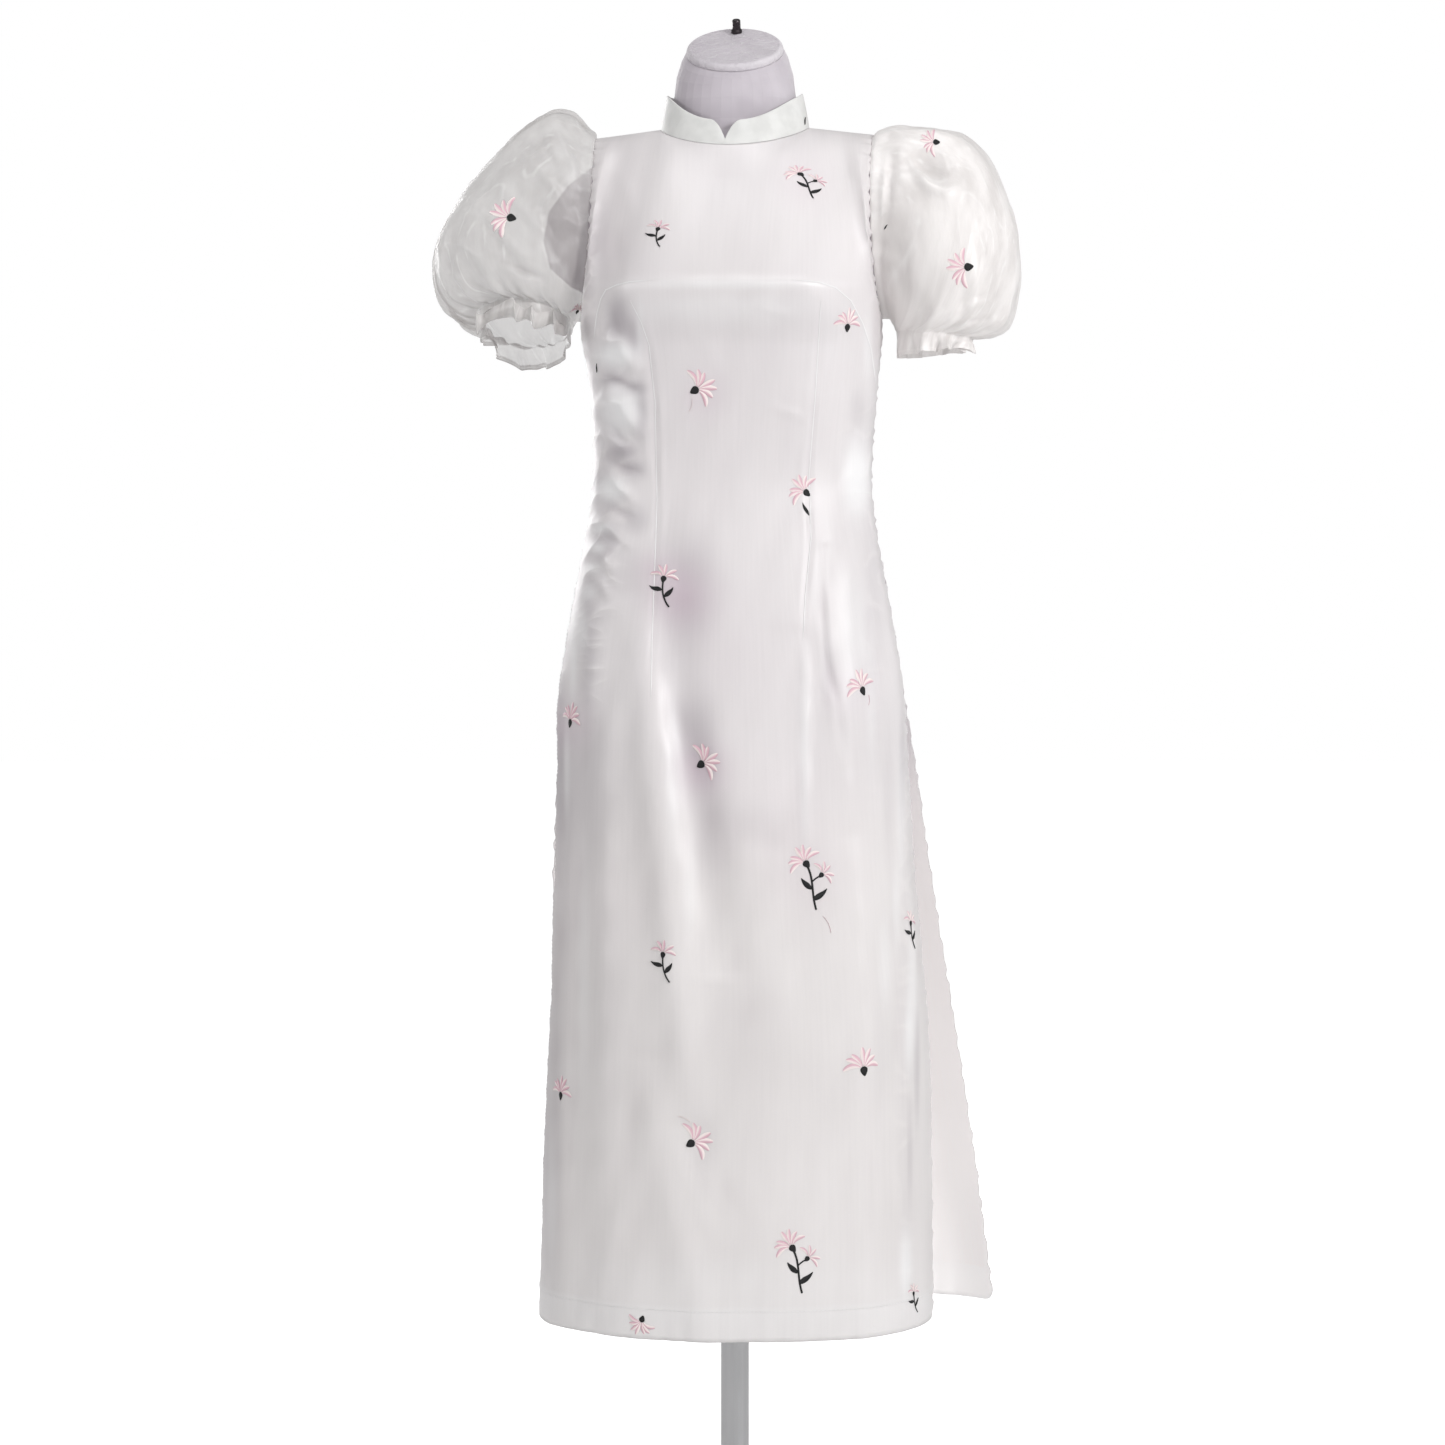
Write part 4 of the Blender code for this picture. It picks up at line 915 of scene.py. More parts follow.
def collarMaterial():
    material, tree, shader = newMaterial(
        "whiteCollar", (0.84, 0.84, 0.82), 0.5, Sheen_Weight=0.2, Sheen_Roughness=0.4, Specular_IOR_Level=0.45,
    )
    place = objectPlace(tree)
    cloud = stretchedNoise(tree, place, (1.0, 1.0, 1.0), 60.0, 2.0)
    yarn = stretchedNoise(tree, place, (1.0, 1.0, 6.0), 900.0, 2.0)
    base = rampOf(tree, cloud, [(0.3, (0.68, 0.68, 0.665)), (0.7, (0.76, 0.76, 0.745))])
    tree.links.new(base, shader.inputs["Base Color"])
    addBump(tree, shader, [(cloud, 0.2, 0.001), (yarn, 0.2, 0.0002)])
    return material


# The jersey darkens towards the side turned from the light, between two places across it
jerseyLook = {
    "ground": ((0.52, 0.48, 0.52), (0.60, 0.56, 0.60)),
    # painted highlight along the rounded rim of the neck cap
    "rim": (0.76, 0.73, 0.76), "rimHighlightShare": 0.7,
    "turned": (0.38, 0.34, 0.385), "turnedShare": 0.40, "turnedFrom": 0.05, "turnedTo": -0.06,
}


def jerseyMaterial(name, crinkle):
    look = jerseyLook
    material, tree, shader = newMaterial(
        name, (0.50, 0.46, 0.53), 0.72, Sheen_Weight=0.5, Sheen_Roughness=0.45, Specular_IOR_Level=0.3,
    )
    place = objectPlace(tree)
    cloud = stretchedNoise(tree, place, (1.0, 1.0, 1.0), 24.0, 2.0)
    knit = stretchedNoise(tree, place, (3.0, 3.0, 1.0), 700.0, 1.0)
    base = rampOf(tree, cloud, [(0.3, look["ground"][0]), (0.7, look["ground"][1])])
    base = mixColour(tree, multiplied(tree, attributeOf(tree, "rim"), look["rimHighlightShare"]), base, look["rim"])
    split = addNode(tree, "ShaderNodeSeparateXYZ")
    tree.links.new(place, split.inputs["Vector"])
    turned = mapRange(
        tree, split.outputs["X"], 0.0, look["turnedShare"], look["turnedFrom"], look["turnedTo"])
    base = mixColour(tree, turned, base, look["turned"])
    tree.links.new(base, shader.inputs["Base Color"])
    heights = [(knit, 0.25, 0.0003)]
    if crinkle > 0.0:
        folds = stretchedNoise(tree, place, (1.0, 2.2, 1.0), 130.0, 3.0)
        heights.insert(0, (folds, crinkle, 0.004))
    addBump(tree, shader, heights)
    return material


def metalMaterial(name, colour, roughness):
    material, tree, shader = newMaterial(name, colour, roughness, Metallic=1.0)
    place = objectPlace(tree)
    wear = stretchedNoise(tree, place, (1.0, 1.0, 0.2), 40.0, 4.0)
    brush = stretchedNoise(tree, place, (1.0, 1.0, 30.0), 60.0, 2.0)
    rough = mapRange(tree, wear, roughness * 0.8, min(roughness * 1.35, 1.0))
    tree.links.new(rough, shader.inputs["Roughness"])
    darker = tuple(c * 0.82 for c in colour)
    tree.links.new(mixColour(tree, wear, darker, colour), shader.inputs["Base Color"])
    addBump(tree, shader, [(brush, 0.12, 0.0002)])
    return material


# Satin-stitch thread: the first edge of each stitched shape is painted lighter as a highlight, the other painted
# deeper as shade
def threadMaterial(name, colour, litEdgeColour, roughness=0.5, sheen=0.3):
    material, tree, shader = newMaterial(
        name, colour, roughness, Sheen_Weight=sheen, Sheen_Roughness=0.3, Specular_IOR_Level=0.35,
    )
    uv = ownUv(tree)
    split = tree.nodes.new("ShaderNodeSeparateXYZ")
    tree.links.new(uv, split.inputs["Vector"])
    shadedEdgeColour = tuple(c * 0.80 for c in colour)
    lit = tuple(min(c * 1.12, 1.0) for c in colour)
    base = rampOf(tree, split.outputs["X"], [
        (0.0, litEdgeColour), (0.40, litEdgeColour), (0.58, colour), (0.84, colour), (1.0, shadedEdgeColour)])
    thread = stretchedNoise(tree, uv, (0.6, 9.0, 1.0), 9.0, 1.0)
    base = mixColour(tree, multiplied(tree, thread, 0.45), base, lit)
    tree.links.new(base, shader.inputs["Base Color"])
    addBump(tree, shader, [(thread, 0.5, 0.0004)])
    return material


satin = satinMaterial("whiteSatin", 0.0)
satinInside = satinMaterial("satinInside", satinLook["insideGlow"])
# The sleeve turned from the light gets a darker copy of the organza (painted shade), the lit one a brighter copy with
# a faint painted glow
sheerOrganza = organzaMaterial("sheerOrganza", 0.52, 0.84)
fullOrganza = organzaMaterial("fullOrganza", 0.90, 1.08, 0.08)
crispCloth = collarMaterial()
jersey = jerseyMaterial("lilacJersey", 0.0)
capJersey = jerseyMaterial("capJersey", 0.6)
steel = metalMaterial("standSteel", (0.56, 0.56, 0.57), 0.34)
darkMetal = metalMaterial("knobMetal", (0.075, 0.065, 0.07), 0.26)
petalThread = threadMaterial("petalThread", (0.71, 0.455, 0.525), (0.97, 0.93, 0.88))
blackThread = threadMaterial("blackThread", (0.006, 0.006, 0.007), (0.010, 0.010, 0.011), 0.55, 0.0)
whiteThread = threadMaterial("whiteThread", (0.80, 0.785, 0.79), (0.86, 0.85, 0.855), 0.4)
print("materials made")


# Tunic panels

half = body["halfColumns"]
fullShares = np.arange(-half, half + 1) / half
halfShares = np.arange(half + 1) / half

# Places tinged pink by the form below: across, down, size, strength
blushSpots = [(680, 596, 30, 0.50), (704, 768, 24, 0.45), (655, 570, 18, 0.3), (812, 880, 40, 0.12), (848, 690, 26, 0.16),
              (705, 395, 22, 0.25), (800, 180, 26, 0.18), (566, 724, 24, 0.35),
              (780, 820, 70, 0.10), (720, 650, 70, 0.08), (605, 900, 60, 0.06), (600, 250, 30, 0.10), (700, 420, 120, 0.04)]


def blushOf(across, down):
    total = np.zeros_like(across)
    for u, v, size, strength in blushSpots:
        total += strength * np.exp(-((across - u) ** 2 + (down - v) ** 2) / size**2)
    return np.clip(total, 0.0, 1.0)


# Painted shade on the darker places of the front: across, down, half width, half height, strength
shadeSpots = [
    (618, 318, 12, 22, 0.62), (634, 338, 9, 22, 0.50), (612, 352, 8, 12, 0.25), (612, 380, 11, 6, 0.55),
    (636, 388, 11, 7, 0.45), (641, 415, 7, 26, 0.50), (622, 452, 14, 8, 0.62), (634, 470, 12, 10, 0.45),
    (598, 484, 7, 12, 0.45), (636, 520, 13, 14, 0.35), (606, 540, 12, 20, 0.35), (630, 575, 14, 30, 0.18),
    (688, 590, 30, 56, 0.40), (696, 745, 22, 50, 0.42), (712, 830, 22, 44, 0.26), (584, 790, 28, 80, 0.26),
    (562, 900, 12, 160, 0.20), (917, 1065, 3, 60, 0.35), (902, 770, 3, 60, 0.30), (910, 1150, 3, 50, 0.25),
    (552, 1130, 9, 170, 0.34), (587, 640, 7, 80, 0.30), (556, 735, 8, 100, 0.50), (541, 1160, 7, 150, 0.35),
    (640, 640, 10, 60, 0.08), (606, 1000, 20, 120, 0.10),
    (602, 240, 9, 50, 0.26), (874, 240, 8, 40, 0.16), (640, 235, 16, 40, 0.08),
    (858, 410, 8, 20, 0.16), (828, 670, 7, 40, 0.26), (757, 826, 34, 22, 0.10), (888, 800, 6, 70, 0.12),
    (745, 1030, 40, 50, 0.06), (616, 165, 24, 55, 0.16), (700, 1160, 16, 50, 0.10), (880, 1060, 8, 80, 0.06),
    (790, 460, 10, 60, 0.06),
]

# Finely crumpled places, in the same units. The crumples are bumped and their valleys get painted shade
crumpleSpots = [
    (612, 350, 16, 36, 0.6), (612, 430, 20, 60, 0.9), (604, 540, 18, 70, 0.8), (590, 640, 13, 60, 0.7), (586, 360, 8, 200, 0.5),
    (858, 470, 16, 60, 0.35), (874, 560, 9, 170, 0.5), (906, 1000, 9, 330, 0.35), (556, 760, 10, 130, 0.35), (590, 250, 9, 70, 0.4),
    (874, 220, 9, 90, 0.4),
]

# Painted highlights on the brightly shining places
paintedHighlightSpots = [
    (616, 355, 19, 13, 0.95), (621, 411, 20, 24, 0.80), (611, 489, 15, 13, 0.85), (601, 528, 11, 5, 0.55), (597, 548, 9, 5, 0.55),
    (592, 568, 8, 5, 0.5), (588, 592, 8, 8, 0.5), (582, 630, 6, 22, 0.45), (724, 284, 100, 5, 0.45), (857, 478, 14, 38, 0.85),
    (852, 640, 16, 70, 0.35), (868, 345, 5, 34, 0.4), (805, 755, 5, 100, 0.45), (673, 765, 8, 80, 0.35), (690, 890, 8, 50, 0.25),
    (912, 1000, 5, 60, 0.4), (906, 1265, 6, 34, 0.6), (901, 820, 4, 60, 0.3), (640, 330, 4, 30, 0.35),
    (724, 308, 92, 16, 0.30), (720, 1290, 190, 32, 0.2), (573, 655, 4, 50, 0.5), (567, 760, 3, 50, 0.35),
    (584, 960, 6, 110, 0.25),
    (885, 962, 6, 42, 0.30), (908, 1040, 4, 34, 0.35), (872, 700, 5, 60, 0.25), (896, 905, 4, 40, 0.3), (552, 1200, 6, 60, 0.3),
]


def spotsOf(spots, across, down):
    total = np.zeros_like(across)
    for u, v, wide, high, strength in spots:
        total += strength * np.exp(-((((across - u) / wide) ** 2 + ((down - v) / high) ** 2) ** 1.35))
    return np.clip(total, 0.0, 1.0)


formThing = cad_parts["form_torso"]
formSurface = BVHTree.FromPolygons(
    [formThing.matrix_world @ v.co for v in formThing.data.vertices], [tuple(p.vertices) for p in formThing.data.polygons])


# How much of the lilac form shows through: 1 where the cloth lies on it
def closeness(grid):
    rows = np.arange(0, grid.shape[0], 4)
    columns = np.arange(0, grid.shape[1], 4)
    coarse = np.zeros((len(rows), len(columns)))
    for i, row in enumerate(rows):
        for j, column in enumerate(columns):
            coarse[i, j] = formSurface.find_nearest(Vector(grid[row, column]))[3]
    byColumn = np.array([np.interp(np.arange(grid.shape[1]), columns, line) for line in coarse])
    fine = np.array([np.interp(np.arange(grid.shape[0]), rows, line) for line in byColumn.T]).T
    return np.exp(-fine / 0.030)


def panelPiece(name, face, shares, node, plain):
    grid, band, relief = drapePanel(face, shares, smoothYoke(plain, shares))
    rows, columns = grid.shape[:2]
    points = grid.reshape(-1, 3)
    wanted = outwardNormals(grid, face["facing"])[rows // 2, columns // 2]
    raw = gridNormals(grid)[rows // 2, columns // 2]
    faces = gridFaces(rows, columns, flip=bool(np.dot(wanted, raw) < 0.0))
    lengths = lengthsOf(plain)
    uv = np.stack([np.broadcast_to(np.array(shares) * 0.23 + 0.5, (rows, columns)), lengths], axis=-1).reshape(-1, 2)
    if face["facing"] < 0:
        (across, down), strength = seenAt(grid), 1.0
    else:
        (across, down), strength = backSeenAt(grid), 0.5
    floats = {"band": band, "near": closeness(grid), "relief": relief, "blush": blushOf(across, down) * strength}
    # Painted shade, painted highlights and crumpled places, from their spots
    for key, spots in (("shade", shadeSpots), ("paintedHighlight", paintedHighlightSpots), ("crumple", crumpleSpots)):
        floats[key] = spotsOf(spots, across, down) * strength
    piece = addPiece(name, points, faces, [satin, satinInside], uv=uv, floats=floats)
    thicken(piece, body["thickness"])
    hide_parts(node)
    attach(piece, "root")
    return grid, surfaceOf(points, faces)


frontPlain = panelGrid(front, fullShares)
leftPlain = panelGrid(back, halfShares)
rightPlain = panelGrid(back, -halfShares)
leftPlain[:, 0, 0] += body["seamGap"] / 2
rightPlain[:, 0, 0] -= body["seamGap"] / 2
frontGrid, frontSurface = panelPiece(
    "tunic_front", front, fullShares, "front_panel", frontPlain)
leftGrid, leftSurface = panelPiece(
    "tunic_back_left", back, halfShares, "back_left", leftPlain)
rightGrid, rightSurface = panelPiece(
    "tunic_back_right", back, -halfShares, "back_right", rightPlain)
print("panels made")


# Sleeves


def armholeRim(frontPlain, backPlain, frontColumn, backColumn):
    first = body["rows"][0] + body["rows"][1]
    top = first + body["rows"][2]
    rim = [(frontPlain[top, frontColumn] + backPlain[top, backColumn]) / 2]
    rim += [frontPlain[row, frontColumn] for row in range(top - 1, first, -1)]
    rim.append((frontPlain[first, frontColumn] + backPlain[first, backColumn]) / 2)
    rim += [backPlain[row, backColumn] for row in range(first + 1, top)]
    return np.array(rim)


# Smooth cubic through the rings, step by step
def splineRows(rows, steps):
    count = len(rows)
    result = []
    for index in range(count - 1):
        before = rows[max(index - 1, 0)]
        after = rows[min(index + 2, count - 1)]
        slopeLow = (rows[index + 1] - before) / (2.0 if index else 1.0)
        slopeHigh = (after - rows[index]) / (2.0 if index < count - 2 else 1.0)
        for step in range(steps):
            result.append(cubic(rows[index], slopeLow, rows[index + 1], slopeHigh, step / steps))
    result.append(rows[-1])
    return np.array(result)


def bellAt(value, middle, width):
    return np.exp(-(((value - middle) / width) ** 2))


def sleevePiece(name, sleeve, node, rim, cloth, steps=11):
    side = sleeve["side"]
    columns = len(rim)
    tangent = np.roll(rim, -1, axis=0) - np.roll(rim, 1, axis=0)
    through = unit(rim - np.array([0.0, 0.0, 1.30]))
    away = unit(np.cross(tangent, through)) * -side
    away = np.where((away[:, :1] * side) < 0.0, -away, away)
    start = rim + away * body["seamGap"]
    angle = 2.0 * math.pi * np.arange(columns) / columns
    bottom = start[columns // 2]
    rings = [start]
    for outerX, outerZ, innerX, innerZ, halfDepth, frontRise, follow in sleeve["rings"]:
        outer = np.array([outerX, 0.0, outerZ])
        inner = np.array([innerX, 0.0, innerZ])
        spoke = (outer - inner) / 2 * np.cos(angle)[:, None]
        spoke = spoke + np.array([0.0, -halfDepth, frontRise]) * np.sin(angle)[:, None]
        point = (outer + inner) / 2 + spoke
        beside = start + np.array([innerX - bottom[0], 0.0, 0.0])
        under = (follow * (0.5 - 0.5 * np.cos(angle)) ** 0.7)[:, None]
        rings.append(point * (1.0 - under) + beside * under)
    grid = splineRows(rings, steps)
    rows = len(grid)
    ring = (np.arange(rows) / steps)[:, None] * np.ones((1, columns))
    turn = np.ones((rows, 1)) * angle[None, :]
    middle = grid.mean(axis=1, keepdims=True)
    outward = gridNormals(grid, True)
    if (outward[rows // 2] * (grid[rows // 2] - middle[rows // 2])).sum() < 0.0:
        outward = -outward
    upper = 0.5 + 0.5 * np.cos(turn)
    phase = sleeve["phase"]
    uneven = turn + 0.10 * np.sin(3.0 * turn + phase) + 0.05 * np.sin(7.0 * turn + 2.0 * phase)
    cap = np.cos(sleeve["capWaves"] * 2.0 * uneven + phase)
    cap = np.where(cap > 0.0, np.abs(cap) ** 0.8, -(np.abs(cap) ** 1.2))
    capSize = smoothStep(0.15, 1.1, ring) * (1.0 - smoothStep(1.4, 4.6, ring)) * upper**0.8
    capSize = capSize * (0.7 + 0.3 * np.cos(5.0 * turn + phase))
    offset = 0.0019 * cap * capSize
    offset += 0.0026 * np.cos(sleeve["capWaves"] * uneven + 0.5) * bellAt(ring, 3.0, 1.8) * upper
    cuff = np.cos(sleeve["cuffWaves"] * uneven + 1.3 * phase)
    cuffSize = smoothStep(6.4, 9.6, ring) * (1.0 - smoothStep(10.6, 11.6, ring)) * (0.35 + 0.65 * upper)
    offset += 0.0030 * cuff * cuffSize * sleeve["pinch"]
    offset += 0.0022 * np.cos(sleeve["cuffWaves"] / 2 * uneven + phase) * bellAt(ring, 8.2, 1.4) * (0.3 + 0.7 * upper)
    frill = np.cos(sleeve["frillWaves"] * uneven + phase)
    frill = frill + 0.35 * np.cos(2.7 * sleeve["frillWaves"] * uneven + 2.0 * phase)
    offset += 0.0068 * frill * smoothStep(11.0, 13.0, ring) * (0.35 + 0.65 * upper)
    offset -= 0.0018 * bellAt(ring, 11.0, 0.22) * sleeve["pinch"]
    soft = np.sin(2.3 * turn + 0.7 * ring + phase) * np.sin(1.1 * ring + 3.1 * turn)
    offset += 0.0016 * soft * smoothStep(1.5, 4.0, ring) * (1.0 - smoothStep(8.0, 10.0, ring)) * upper
    crisp = smoothStep(0.3, 2.0, ring) * (1.0 - 0.6 * smoothStep(10.0, 12.0, ring)) * (0.25 + 0.75 * upper)
    crisp = crisp * sleeve["crisp"]
    offset += 0.0085 * (crumpleOf(grid, 0.046, 3 + side) - 0.62) * crisp
    offset += 0.0034 * (crumpleOf(grid, 0.018, 11 + side) - 0.62) * crisp
    grid = grid + outward * offset[..., None]
    # the frill rolls up in front and hangs lower behind
    first = int(10.7 * steps)
    loops = 10.0 * uneven + 0.9 * np.sin(3.0 * turn) + phase
    waves = np.fft.rfft(grid[first], axis=0)
    waves[6:] = 0.0
    even = np.fft.irfft(waves, columns, axis=0)
    roll = np.radians(215.0) * np.clip((ring - ring[first, 0]) / (12.9 - ring[first, 0]), 0.0, 1.0)
    radius = 0.0122 * (1.0 + 0.22 * np.sin(loops) + 0.10 * np.sin(1.7 * loops))
    rolled = even[None, :, :] + np.stack([
        0.0026 * np.cos(loops) * np.sin(roll / 2), -radius * (1.0 - np.cos(roll)), -radius * np.sin(roll)], axis=-1)
    rolled[..., 2] += (0.0036 * np.sin(loops / 2 + 1.0) + 0.0020 * np.cos(loops) - 0.0175) * np.sin(roll / 2)
    curl = sleeve["curl"] * smoothStep(0.05, 0.45, np.sin(turn)) * (ring > ring[first, 0])
    grid = grid * (1.0 - curl[..., None]) + rolled * curl[..., None]
    hang = sleeve["curl"] * smoothStep(0.0, 0.7, -np.sin(turn)) * smoothStep(11.0, 13.0, ring)
    grid[..., 2] -= 0.003 * hang * np.clip(-np.sin(turn), 0.0, 1.0) ** 2
    over = bellAt(ring, 0.42, 0.34) * smoothStep(1.235, 1.275, rim[None, :, 2])
    lift = through * np.array([0.0, 1.0, 1.0])
    over = over * (1.0 + 0.35 * np.sin(17.0 * uneven + phase))
    grid = grid + over[..., None] * (0.0016 * lift[None] - np.array([side * 0.0030, 0.0, 0.0]))
    across, down = seenAt(grid)
    front = np.clip(-3.0 * outward[..., 1], 0.0, 1.0) * smoothStep(0.5, 1.2, ring)
    placed = creaseOffset(sleeve["creases"], across, down) * front
    grid = grid + outward * placed[..., None]
    for x, y, z, radius, depth in sleeve["dents"]:
        distance = np.linalg.norm(grid - np.array([x, y, z]), axis=-1)
        grid = grid - outward * (depth * np.exp(-((distance / radius) ** 2)))[..., None]
    points = grid.reshape(-1, 3)
    raw = gridNormals(grid, True)[rows // 2, 0]
    faces = gridFaces(rows, columns, True, flip=bool(np.dot(raw, outward[rows // 2, 0]) < 0.0))
    lengths = lengthsOf(grid)
    uv = np.stack([0.5 + 0.08 * np.cos(turn) + 0.35 * np.sin(turn / 2), lengths], axis=-1).reshape(-1, 2)
    # The sleeve's relief also carries painted light: painted shade in its hollows, a painted highlight on the roll at
    # the armhole and on the curled frill, and painted shade on the back of the cuff and on the hanging back of the
    # frill
    raised = offset / 0.009 + placed / 0.006 + 0.5 * bellAt(ring, 0.45, 0.5) + curl * (0.8 + 0.5 * np.sin(loops))
    shaded = sleeve["curl"] * smoothStep(0.2, 0.8, -np.sin(turn)) * bellAt(ring, 9.6, 1.6)
    relief = 0.5 + 0.5 * np.tanh(raised - 0.8 * hang - 0.8 * shaded)
    hem = smoothStep(12.55, 12.68, ring) * (1.0 - 0.75 * bellAt(ring, 12.80, 0.09))
    piece = addPiece(name, points, faces, [cloth], uv=uv, floats={"relief": relief, "hem": np.maximum(hem, 0.75 * curl)})
    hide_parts(node)
    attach(piece, "root")
    return surfaceOf(points, faces)


leftRim = armholeRim(frontPlain, leftPlain, 2 * half, half)
rightRim = armholeRim(frontPlain, rightPlain, 0, half)
leftSleeveSurface = sleevePiece(
    "tunic_sleeve_left", leftSleeve, "sleeve_left", leftRim, fullOrganza)
rightSleeveSurface = sleevePiece(
    "tunic_sleeve_right", rightSleeve, "sleeve_right", rightRim, sheerOrganza)
print("sleeves made")


# Collar


def collarHeight(distance):
    roundness = 1.0 - (1.0 - np.minimum(distance / collar["round"], 1.0)) ** 2
    low = collar["notchHeight"] + (collar["frontHeight"] - collar["notchHeight"]) * roundness**0.85
    share = smoothStep(collar["round"], collar["fullHeightAt"], distance)
    high = collar["frontHeight"] + (collar["height"] - collar["frontHeight"]) * share
    return np.where(distance < collar["round"], low, high)


def collarPiece():
    top = sum(body["rows"])
    reach = round(body["neckShare"] * half)
    rightBack = rightPlain[top, :reach + 1]
    middle = frontPlain[top, half - reach:half + reach + 1]
    leftBack = leftPlain[top, reach::-1]
    coarse = np.concatenate([rightBack[:-1], middle, leftBack[1:]])
    fine = []
    for first, second in zip(coarse, coarse[1:]):
        fine += [first, (first + second) / 2]
    base = np.array(fine + [coarse[-1]])
    base[0, 0] = -collar["split"] / 2
    base[-1, 0] = collar["split"] / 2
    centre = len(base) // 2
    lengths = np.concatenate([[0.0], np.cumsum(np.linalg.norm(np.diff(base, axis=0), axis=-1))])
    distance = np.abs(lengths - lengths[centre] - collar["notchShift"])
    ahead = np.gradient(base, axis=0)
    outward = unit(np.stack([-ahead[:, 1], ahead[:, 0], 0.0 * ahead[:, 0]], axis=-1))
    flip = (outward[:, 0] * base[:, 0] + outward[:, 1] * base[:, 1]) < 0.0
    outward[flip] *= -1.0
    outward[0] = outward[-1] = (0.0, 1.0, 0.0)
    rise = np.array([0.0, 0.0, 1.0]) - outward * collar["lean"]
    height = collarHeight(distance)
    thick = collar["thickness"]
    rows = collar["rows"]
    edge = collar["topRound"]
    lines = []
    for row in range(rows + 1):
        up = row / rows
        bulge = collar["bulge"] * math.sin(math.pi * up)
        lines.append(base + rise * ((height - edge) * up + body["seamGap"])[:, None] + outward * bulge)
    topLine = base + rise * (height - edge + body["seamGap"])[:, None]
    for turn in (45, 90, 135):
        lift = edge * math.sin(math.radians(turn))
        shift = edge * (1.0 - math.cos(math.radians(turn)))
        lines.append(topLine + rise * lift - outward * shift)
    for row in range(rows, -1, -1):
        lines.append(base + rise * ((height - edge) * row / rows + body["seamGap"])[:, None] - outward * thick)
    grid = np.array(lines)
    count, columns = grid.shape[:2]
    points = grid.reshape(-1, 3)
    faces = gridFaces(count, columns)
    for column in range(columns - 1):
        faces.append((column, column + 1, (count - 1) * columns + column + 1, (count - 1) * columns + column))
    ends = [[row * columns for row in range(count)], [row * columns + columns - 1 for row in range(count)]]
    faces += [tuple(ends[0]), tuple(ends[1])]
    piece = addPiece("tunic_collar", points, faces, [crispCloth])
    faceOutwards(piece)
    piece.data.set_sharp_from_angle(angle=math.radians(50))
    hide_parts("collar")
    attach(piece, "root")
    return surfaceOf(points, faces)


collarSurface = collarPiece()
print("collar made")


# Embroidery


def petal(angle, length, width, bend, start=0.10):
    rows, columns = 9, 5
    points = []
    for row in range(rows):
        t = row / (rows - 1)
        turn = math.radians(angle + bend * t)
        along = start + (length - start) * t
        lean = math.radians(angle) + math.radians(bend) * t * 0.6
        x, y = along * math.sin(lean), along * math.cos(lean)
        wide = width * (math.sin(math.pi * min(t * 0.88 + 0.06, 1.0)) ** 0.75) * (0.55 + 0.45 * t)
        for column in range(columns):
            c = column / (columns - 1) * 2.0 - 1.0
            dome = (1.0 - c * c) * min(1.0, 4.0 * min(t + 0.05, 1.05 - t))
            points.append((x + c * wide * math.cos(turn), y - c * wide * math.sin(turn), dome, (c + 1) / 2, t))
    return points, gridFaces(rows, columns)


def stroke(path, widths):
    points = []
    columns = 5
    for index, (x, y) in enumerate(path):
        ax, ay = path[max(index - 1, 0)]
        bx, by = path[min(index + 1, len(path) - 1)]
        size = math.hypot(bx - ax, by - ay) or 1.0
        nx, ny = (by - ay) / size, -(bx - ax) / size
        for column in range(columns):
            c = column / (columns - 1) * 2.0 - 1.0
            wide = c * widths[index]
            points.append((x + nx * wide, y + ny * wide, 1.0 - c * c, (c + 1) / 2, index / (len(path) - 1)))
    return points, gridFaces(len(path), columns)


def curvePath(points, count=9):
    path = []
    for index in range(count):
        t = index / (count - 1)
        work = [Vector(p) for p in points]
        while len(work) > 1:
            work = [a.lerp(b, t) for a, b in zip(work, work[1:])]
        path.append((work[0].x, work[0].y))
    return path


def leafOf(foot, tip, sag, width):
    x, y = tip[0] - foot[0], tip[1] - foot[1]
    middle = (foot[0] + 0.6 * x - sag * y, foot[1] + 0.6 * y + sag * x)
    low = (foot[0] + 0.25 * x + 0.3 * sag * y, foot[1] + 0.25 * y - 0.3 * sag * x)
    path = curvePath([foot, low, middle, tip], 9)
    widths = [0.006 + width * math.sin(math.pi * (i / 8) ** 0.85) for i in range(9)]
    return stroke(path, widths)


# Petals fan out to one side only, from the top of a drop-shaped calyx
def blossom(x, y, turn, size, petals):
    parts = []
    for index in range(petals):
        share = index / (petals - 1) * 2.0 - 1.0
        angle = share * 42 + 4 * math.sin(index * 2.4)
        length = (0.80 - 0.07 * abs(share) + 0.05 * math.sin(index * 1.9 + 1.0)) * size
        points, faces = petal(angle, length, 0.122 * size, 66 * share, 0.17 * size)
        parts.append(("petal", points, faces))
    calyx = curvePath([(0.0, -0.19 * size), (0.0, 0.0), (0.0, 0.15 * size)], 8)
    widths = [w * size for w in (0.03, 0.075, 0.11, 0.135, 0.15, 0.145, 0.11, 0.04)]
    points, faces = stroke(calyx, widths)
    parts.append(("black", points, faces))
    turned = []
    c, s = math.cos(math.radians(turn)), math.sin(math.radians(turn))
    for kind, points, faces in parts:
        points = [(x + p[0] * c + p[1] * s, y - p[0] * s + p[1] * c, *p[2:]) for p in points]
        turned.append((kind, points, faces))
    return turned


